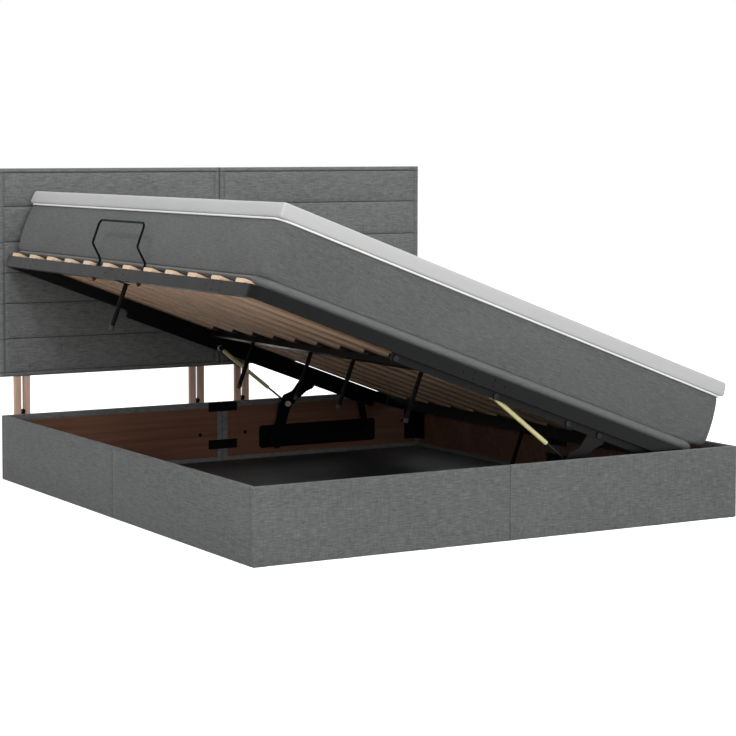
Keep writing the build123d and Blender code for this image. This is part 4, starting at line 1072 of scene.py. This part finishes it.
@dataclass
class Bedding:
    """Mattress with its rolled lower band, white piping and pale topper.

    The profiles are pairs of height and inset of the sides. BAND and the topper's start at the
    underside, GROOVE at the seam and EDGE at the top; SIDE has shares of the whole height.

    Attributes:
        middle: X of the mattress's middle when shut.
        half_width: Half width.
        half_length: Half length.
        corner: Corner radius in plan.
        bottom: Height of the underside when shut.
        top: Height of the mattress's top.
        seam: Height of the seam over the lower band.
        head_reach: How far the cloth stands proud at the head end, above the base's rim.
        belly: How far the sides bulge at half height.
        rim_step: How far the right side is drawn in below the base's rim.
        rim_clear: Height above which nothing is drawn in.
        rim_fade: Height over which it is drawn in fully.
        droop: How far the ends sink past the last slats onto the rails.
        droop_start: Distance from the middle where they start to sink.
        droop_length: Length over which they sink.
        piping: Radius of the piping.
        piping_inset: Inset of the piping's centre from the sides.
        piping_height: Height of the piping's centre when shut.
        topper_corner: Corner radius of the topper in plan.
        topper_bottom: Height of the topper's underside.
        topper_height: Thickness of the topper.
        topper_crown: Fall of the topper's top from the middle to its edge.
    """

    middle: float = 30.5
    half_width: float = 902.0
    half_length: float = 982.0
    corner: float = 44.0
    bottom: float = 225.1
    top: float = 423.1
    seam: float = MATTRESS_SEAM
    head_reach: float = 8.0
    belly: float = 3.4
    rim_step: float = 46.0
    rim_clear: float = 252.0
    rim_fade: float = 12.0
    droop: float = 13.0
    droop_start: float = 906.0
    droop_length: float = 58.0
    piping: float = 3.3
    piping_inset: float = 3.8
    piping_height: float = 420.8
    topper_corner: float = 11.0
    topper_bottom: float = 425.1
    topper_height: float = 50.0
    topper_crown: float = 1.4

    OUTLINE = Outline.spaced(10, 72, 80)
    BAND: Profile = (
        *((0.0, 12.0), (0.6, 6.5), (2.0, 2.2), (4.2, -0.9)),
        *((6.8, -2.0), (9.2, -1.5), (11.6, 0.8), (13.6, 4.2)),
    )
    GROOVE: Profile = ((-0.7, 6.4), (0.0, 7.2), (0.7, 6.2), (1.8, 4.4), (3.6, 3.4), (7.0, 2.8))
    SIDE: Profile = (
        *((0.18, 2.2), (0.26, 1.2), (0.34, 0.5), (0.43, 0.1), (0.52, 0.0)),
        *((0.62, 0.3), (0.71, 0.9), (0.8, 1.8), (0.88, 3.3), (0.93, 4.6)),
    )
    EDGE: Profile = ((-9.0, 5.9), (-6.0, 6.8), (-3.4, 8.6), (-1.4, 11.0), (-0.3, 13.4), (0.0, 15.5))
    TOPPER: Profile = (
        *((0.0, 7.0), (0.5, 4.2), (2.0, 1.8), (4.5, 0.4), (8.0, 0.0)),
        *((15.0, 0.3), (24.0, 0.8), (32.0, 1.6), (39.0, 2.7), (43.0, 3.7)),
        *((45.6, 5.0), (47.3, 7.0), (48.2, 9.8), (48.5, 13.5), (48.6, 23.0)),
    )

    @staticmethod
    def _rows(start: float, profile: Profile) -> list[tuple[float, float, float]]:
        """Rows of height, inset and full scale of a profile that starts at a height."""
        return [(start + rise, inset, 1.0) for rise, inset in profile]

    def _rings(self, rows: list[tuple[float, float, float]], corner: float) -> Array:
        """Rings of a piece, drawn in on the right and at the head end below the rim.

        Args:
            rows: Height, inset of the sides, and scale about the middle.
            corner: Corner radius in plan where the inset is 0.

        Returns:
            The points, ring by ring.
        """
        height, inset, scale = np.array(rows).T
        share = smooth(np.clip((self.rim_clear - height) / self.rim_fade, 0, 1))
        drawn, reach = self.rim_step * share, self.head_reach * (1 - share)
        columns = (
            self.middle - drawn / 2,
            reach / 2,
            self.half_width - inset - drawn / 2,
            self.half_length + reach / 2 - inset,
            np.clip(corner - inset, 8.0, None) + 0.5 * drawn,
            height,
            scale,
        )
        return self.OUTLINE.rings(np.column_stack(columns))

    def _softened(self, grid: Array, soft: Array, amount: float, *lengths: float) -> Array:
        """Moves the sides of the soft rings in and out a little by slow waves round the piece."""
        x, y, z = np.moveaxis(grid, 2, 0)
        push = np.where(soft[:, None], amount * uneven(x - y, z * 2, *lengths), 0.0)
        moved = grid.copy()
        moved[..., :2] += push[..., None] * self.OUTLINE.turn
        return moved

    def mattress(self) -> Skin:
        """Foam block: flat where it lies on the slats, a rolled band, a seam, full sides.

        Beyond the last slats the underside sinks by a smooth step in the distance from the
        middle, which fades out up to the seam.
        """
        low, seam, tall = self.bottom, self.seam, self.top - self.bottom
        bulge = [self.belly * math.sin(math.pi * (share - 0.1) / 0.9) for share, _ in self.SIDE]
        side = tuple((tall * share, inset - out) for (share, inset), out in zip(self.SIDE, bulge))
        rows = [(low, 16.0, scale) for scale in (0.2, 0.5, 0.8, 0.9, 0.94, 0.97, 0.985)]
        rows += self._rows(low, self.BAND) + self._rows(seam, self.GROOVE)
        rows += self._rows(low, side) + self._rows(self.top, self.EDGE)
        rows += [(self.top, self.EDGE[-1][1], scale) for scale in (0.96, 0.8, 0.5, 0.2)]
        grid = self._rings(rows, self.corner)
        sink = smooth(np.clip((np.abs(grid[..., 1]) - self.droop_start) / self.droop_length, 0, 1))
        fade = np.clip((seam - 1.0 - grid[..., 2]) / (seam - 1.0 - low), 0, 1)
        grid[..., 2] -= self.droop * sink * fade
        height, _, scale = np.array(rows).T
        soft = (scale > 0.99) & (height > low + 1.0) & (height < self.top - 7.0)
        return Skin.from_rings(self._softened(grid, soft, 1.0, 520.0, 340.0, 230.0)).raised()

    def topper(self) -> Skin:
        """Foam topper: rounded lower edge, soft side, tight shoulder and crowned top.

        The crown falls off as the square of the distance from the middle, and the lower edge
        lifts a little in short puckers.
        """
        low, high = self.topper_bottom, self.topper_bottom + self.topper_height
        inset = self.TOPPER[-1][1]
        rows = [(low, 8.0, scale) for scale in (0.3, 0.7, 0.95)]
        rows += self._rows(low, self.TOPPER)
        for scale in (0.975, 0.94, 0.88, 0.78, 0.62, 0.42, 0.2):
            rows.append((high - self.topper_crown * scale**2, inset, scale))
        height, _, scale = np.array(rows).T
        soft = (scale > 0.99) & (height > low + 3.0)
        grid = self._softened(self._rings(rows, self.topper_corner), soft, 1.2, 610.0, 370.0, 205.0)
        x, y, z = np.moveaxis(grid, 2, 0)
        loose = (height < low + 9.0)[:, None]
        lift = 0.7 * np.abs(uneven(x - y, 0 * z, 160.0, 97.0, 61.0))
        grid[..., 2] += np.where(loose, lift, 0.0)
        return Skin.from_rings(grid).raised()

    def piping_cord(self) -> Skin:
        """Piping: a small circle carried round the mattress's upper edge, a little uneven."""
        outline, shift = self.OUTLINE, self.head_reach / 2
        half = np.array((self.half_width, self.half_length + shift)) - self.piping_inset
        corner = self.corner - self.piping_inset
        turn = np.linspace(0, FULL_TURN, 13)[:-1]
        reach = corner + self.piping * np.cos(turn)[None, :, None]
        flat = outline.side[:, None] * (half - corner) + outline.turn[:, None] * reach
        wobble = 0.3 * uneven(flat[..., 0] - flat[..., 1], 0 * flat[..., 0], 170.0, 110.0, 260.0)
        height = self.piping_height + self.piping * np.sin(turn)[None, :] + wobble
        grid = np.stack((flat[..., 0] + self.middle, flat[..., 1] + shift, height), axis=2)
        return Skin.from_loop_grid(grid).raised()

    def build(self) -> None:
        """Makes the three soft pieces."""
        pieces = (
            ("mattress", self.mattress(), MATTRESS_LINEN, "mattress_fabric", 0.95),
            ("mattress_piping", self.piping_cord(), PIPING_CLOTH, "piping_fabric", 1.0),
            ("topper", self.topper(), TOPPER_KNIT, "topper_fabric", 0.9),
        )
        for name, skin, finish, slot, fill in pieces:
            piece = skin.piece(f"{name}_cloth", finish, slot, "platform", 60.0)
            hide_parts(name)


# ---------------------------------------------------------------- hard parts


class HardParts:
    """Boards, legs, frame, slats, mechanism and fittings: CAD nodes that only get a finish."""

    @staticmethod
    def finishes() -> tuple[tuple[Finish, list[str]], ...]:
        """Each finish with the nodes that it goes on."""
        boards = [f"{end}_board_{side}" for end in ENDS for side in SIDES]
        boards += [f"{side}_board_{end}" for side in SIDES for end in ENDS]
        legs = ("left_outer", "left_inner", "right_inner", "right_outer")
        rails = ["foot_rail", "head_rail", "side_rail_left", "side_rail_right", "centre_beam"]
        arms = ("lift_angle", "lift_bracket", "main_arm", "link_arm")
        return (
            (BOARD_WOOD, boards),
            (FLOOR_BOARD, [f"floor_board_{end}" for end in ENDS]),
            (BACK_BOARD, [f"headboard_back_{side}" for side in SIDES]),
            (LEG_WOOD, [f"headboard_leg_{leg}" for leg in legs]),
            (SLAT_WOOD, [f"slats_{side}" for side in SIDES]),
            (BLACK_COAT, ["corner_brackets", "panel_joint_plates", "headboard_straps", *rails]),
            (TUBE_COAT, ["mattress_retainer", "support_legs"]),
            (DARK_BOLT, ["panel_bolts", "headboard_bolts", "retainer_nuts", "platform_pivots"]),
            (BLACK_PLASTIC, ["slat_holders", "leg_caps"]),
            (GREY_FELT, ["floor_glides"]),
            (MECHANISM_COAT, [f"{arm}_{end}" for arm in arms for end in ENDS]),
            (STRUT_PAINT, [f"strut_cylinder_{end}" for end in ENDS]),
            (ROD_BLACK, [f"strut_rod_{end}" for end in ENDS]),
        )

    def build(self) -> None:
        """Gives every node its finish."""
        for finish, nodes in self.finishes():
            for node in nodes:
                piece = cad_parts[node]
                if not piece.material_slots:
                    piece.data.materials.append(None)
                for slot in piece.material_slots:
                    slot.material = finish.material()
                log.info("%s: %s", node, finish.name)


# ---------------------------------------------------------------- studio


@dataclass(frozen=True)
class Lamp:
    """A soft rectangular lamp.

    Attributes:
        name: Name of the lamp.
        place: Its place in metres.
        aim: Point that it faces.
        watts: Its power.
        width: Its width in metres.
        height: Its height.
    """

    name: str
    place: Point
    aim: Point
    watts: float
    width: float
    height: float

    def build(self) -> None:
        """Adds the lamp."""
        data = bpy.data.lights.new(self.name, "AREA")
        data.shape = "RECTANGLE"
        data.energy, data.size, data.size_y = self.watts, self.width, self.height
        made = add_object(self.name, data)
        made.location = self.place
        made.rotation_euler = (Vector(self.aim) - Vector(self.place)).to_track_quat("-Z", "Y").to_euler()
        made.visible_glossy = False


@dataclass
class Studio:
    """Camera, lamps, white surroundings and floor.

    Attributes:
        eye: Place of the camera in metres.
        heading: Turn of the camera about the upright axis in degrees.
        dip: How far the camera looks down in degrees.
        lens: Focal length in millimetres.
        sensor: Width of the sensor in millimetres.
        shift: Sideways and upward shift of the picture.
        far: Distance in metres up to which the camera sees.
        daylight: Strength of the surroundings as light.
        floor_half: Half width of the floor in metres.
        floor_glow: Light that the floor adds of its own to what the camera sees.
        lamps: The lamps.
    """

    eye: Point = (-3.90103, -6.75435, 1.2412)
    heading: float = -29.885
    dip: float = 3.812
    lens: float = 108.329
    sensor: float = 36.0
    shift: tuple[float, float] = (0.03178, -0.1)
    far: float = 200.0
    daylight: float = 0.38
    floor_half: float = 60.0
    floor_glow: float = 0.8
    lamps: tuple[Lamp, ...] = (
        Lamp("key", (-4.0, -2.6, 5.6), (-0.2, 0.0, 0.5), 142.0, 1.3, 1.3),
        Lamp("front", (-1.8, -7.8, 1.6), (0.2, 0.0, 0.4), 200.0, 3.2, 1.6),
        Lamp("top", (0.6, -1.0, 5.4), (0.2, 0.2, 0.3), 120.0, 3.0, 3.0),
        Lamp("back", (4.6, 5.2, 2.6), (0.3, 0.3, 0.4), 110.0, 3.0, 2.0),
    )

    def build_camera(self) -> None:
        """Adds the camera of the photograph's view."""
        data = bpy.data.cameras.new("camera")
        data.sensor_width, data.lens = self.sensor, self.lens
        data.shift_x, data.shift_y = self.shift
        data.clip_end = self.far
        made = add_object("camera", data)
        made.location = self.eye
        made.rotation_euler = (math.radians(90.0 - self.dip), 0.0, math.radians(self.heading))
        bpy.context.scene.camera = made

    def build_world(self) -> None:
        """White where it is seen directly or in gloss, daylight where it lights the bed."""
        world = bpy.data.worlds.new("surroundings")
        bpy.context.scene.world = world
        graph = Graph(world)
        light, white = (
            graph.node("ShaderNodeBackground", {}, {"Color": WHITE, "Strength": strength})
            for strength in (self.daylight, 1.0)
        )
        mixed = graph.node("ShaderNodeMixShader", {}, {0: self._seen(graph), 1: light, 2: white})
        graph.node("ShaderNodeOutputWorld", {}, {"Surface": mixed})

    @staticmethod
    def _seen(graph: Graph) -> Wire:
        """1 for rays that show the surroundings to the eye, 0 for rays that gather light."""
        kinds = ("Camera", "Glossy", "Transmission")
        rays = [graph.node("ShaderNodeLightPath", output=f"Is {kind} Ray") for kind in kinds]
        return rays[0].greatest(rays[1]).greatest(rays[2])

    def build_floor(self) -> None:
        """Pale floor that keeps the bed's shadow."""
        finish = bpy.data.materials.new("pale_floor")
        graph = Graph(finish)
        matt = graph.node("ShaderNodeBsdfDiffuse", {}, {"Color": (0.8, 0.8, 0.8, 1.0), "Roughness": 0.5})
        strength = self._seen(graph) * self.floor_glow
        glow = graph.node("ShaderNodeEmission", {}, {"Color": WHITE, "Strength": strength})
        both = graph.node("ShaderNodeAddShader", {}, {0: matt, 1: glow})
        graph.node("ShaderNodeOutputMaterial", {}, {"Surface": both})
        mesh = bpy.data.meshes.new("floor")
        line = np.linspace(-self.floor_half, self.floor_half, 5)
        x, y = np.meshgrid(line, line)
        number = np.arange(x.size).reshape(x.shape)
        points = np.column_stack((x.ravel(), y.ravel(), 0 * x.ravel()))
        mesh.from_pydata(points.tolist(), [], cells(number).tolist())
        mesh.materials.append(finish)
        floor = add_object("floor", mesh)

    def build(self) -> None:
        """Sets up the whole studio."""
        bpy.context.scene.view_settings.view_transform = "Standard"
        self.build_camera()
        self.build_world()
        self.build_floor()
        for lamp in self.lamps:
            lamp.build()


def main() -> None:
    """Dresses the bed, piece by piece, and keeps its sizes."""
    logging.basicConfig(level=logging.INFO, format="%(message)s")
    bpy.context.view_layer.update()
    for group in (Studio(), BaseBox(), Headboard(), Bedding(), HardParts()):
        log.info("== %s", type(group).__name__)
        group.build()


if __name__ == "__main__":
    main()
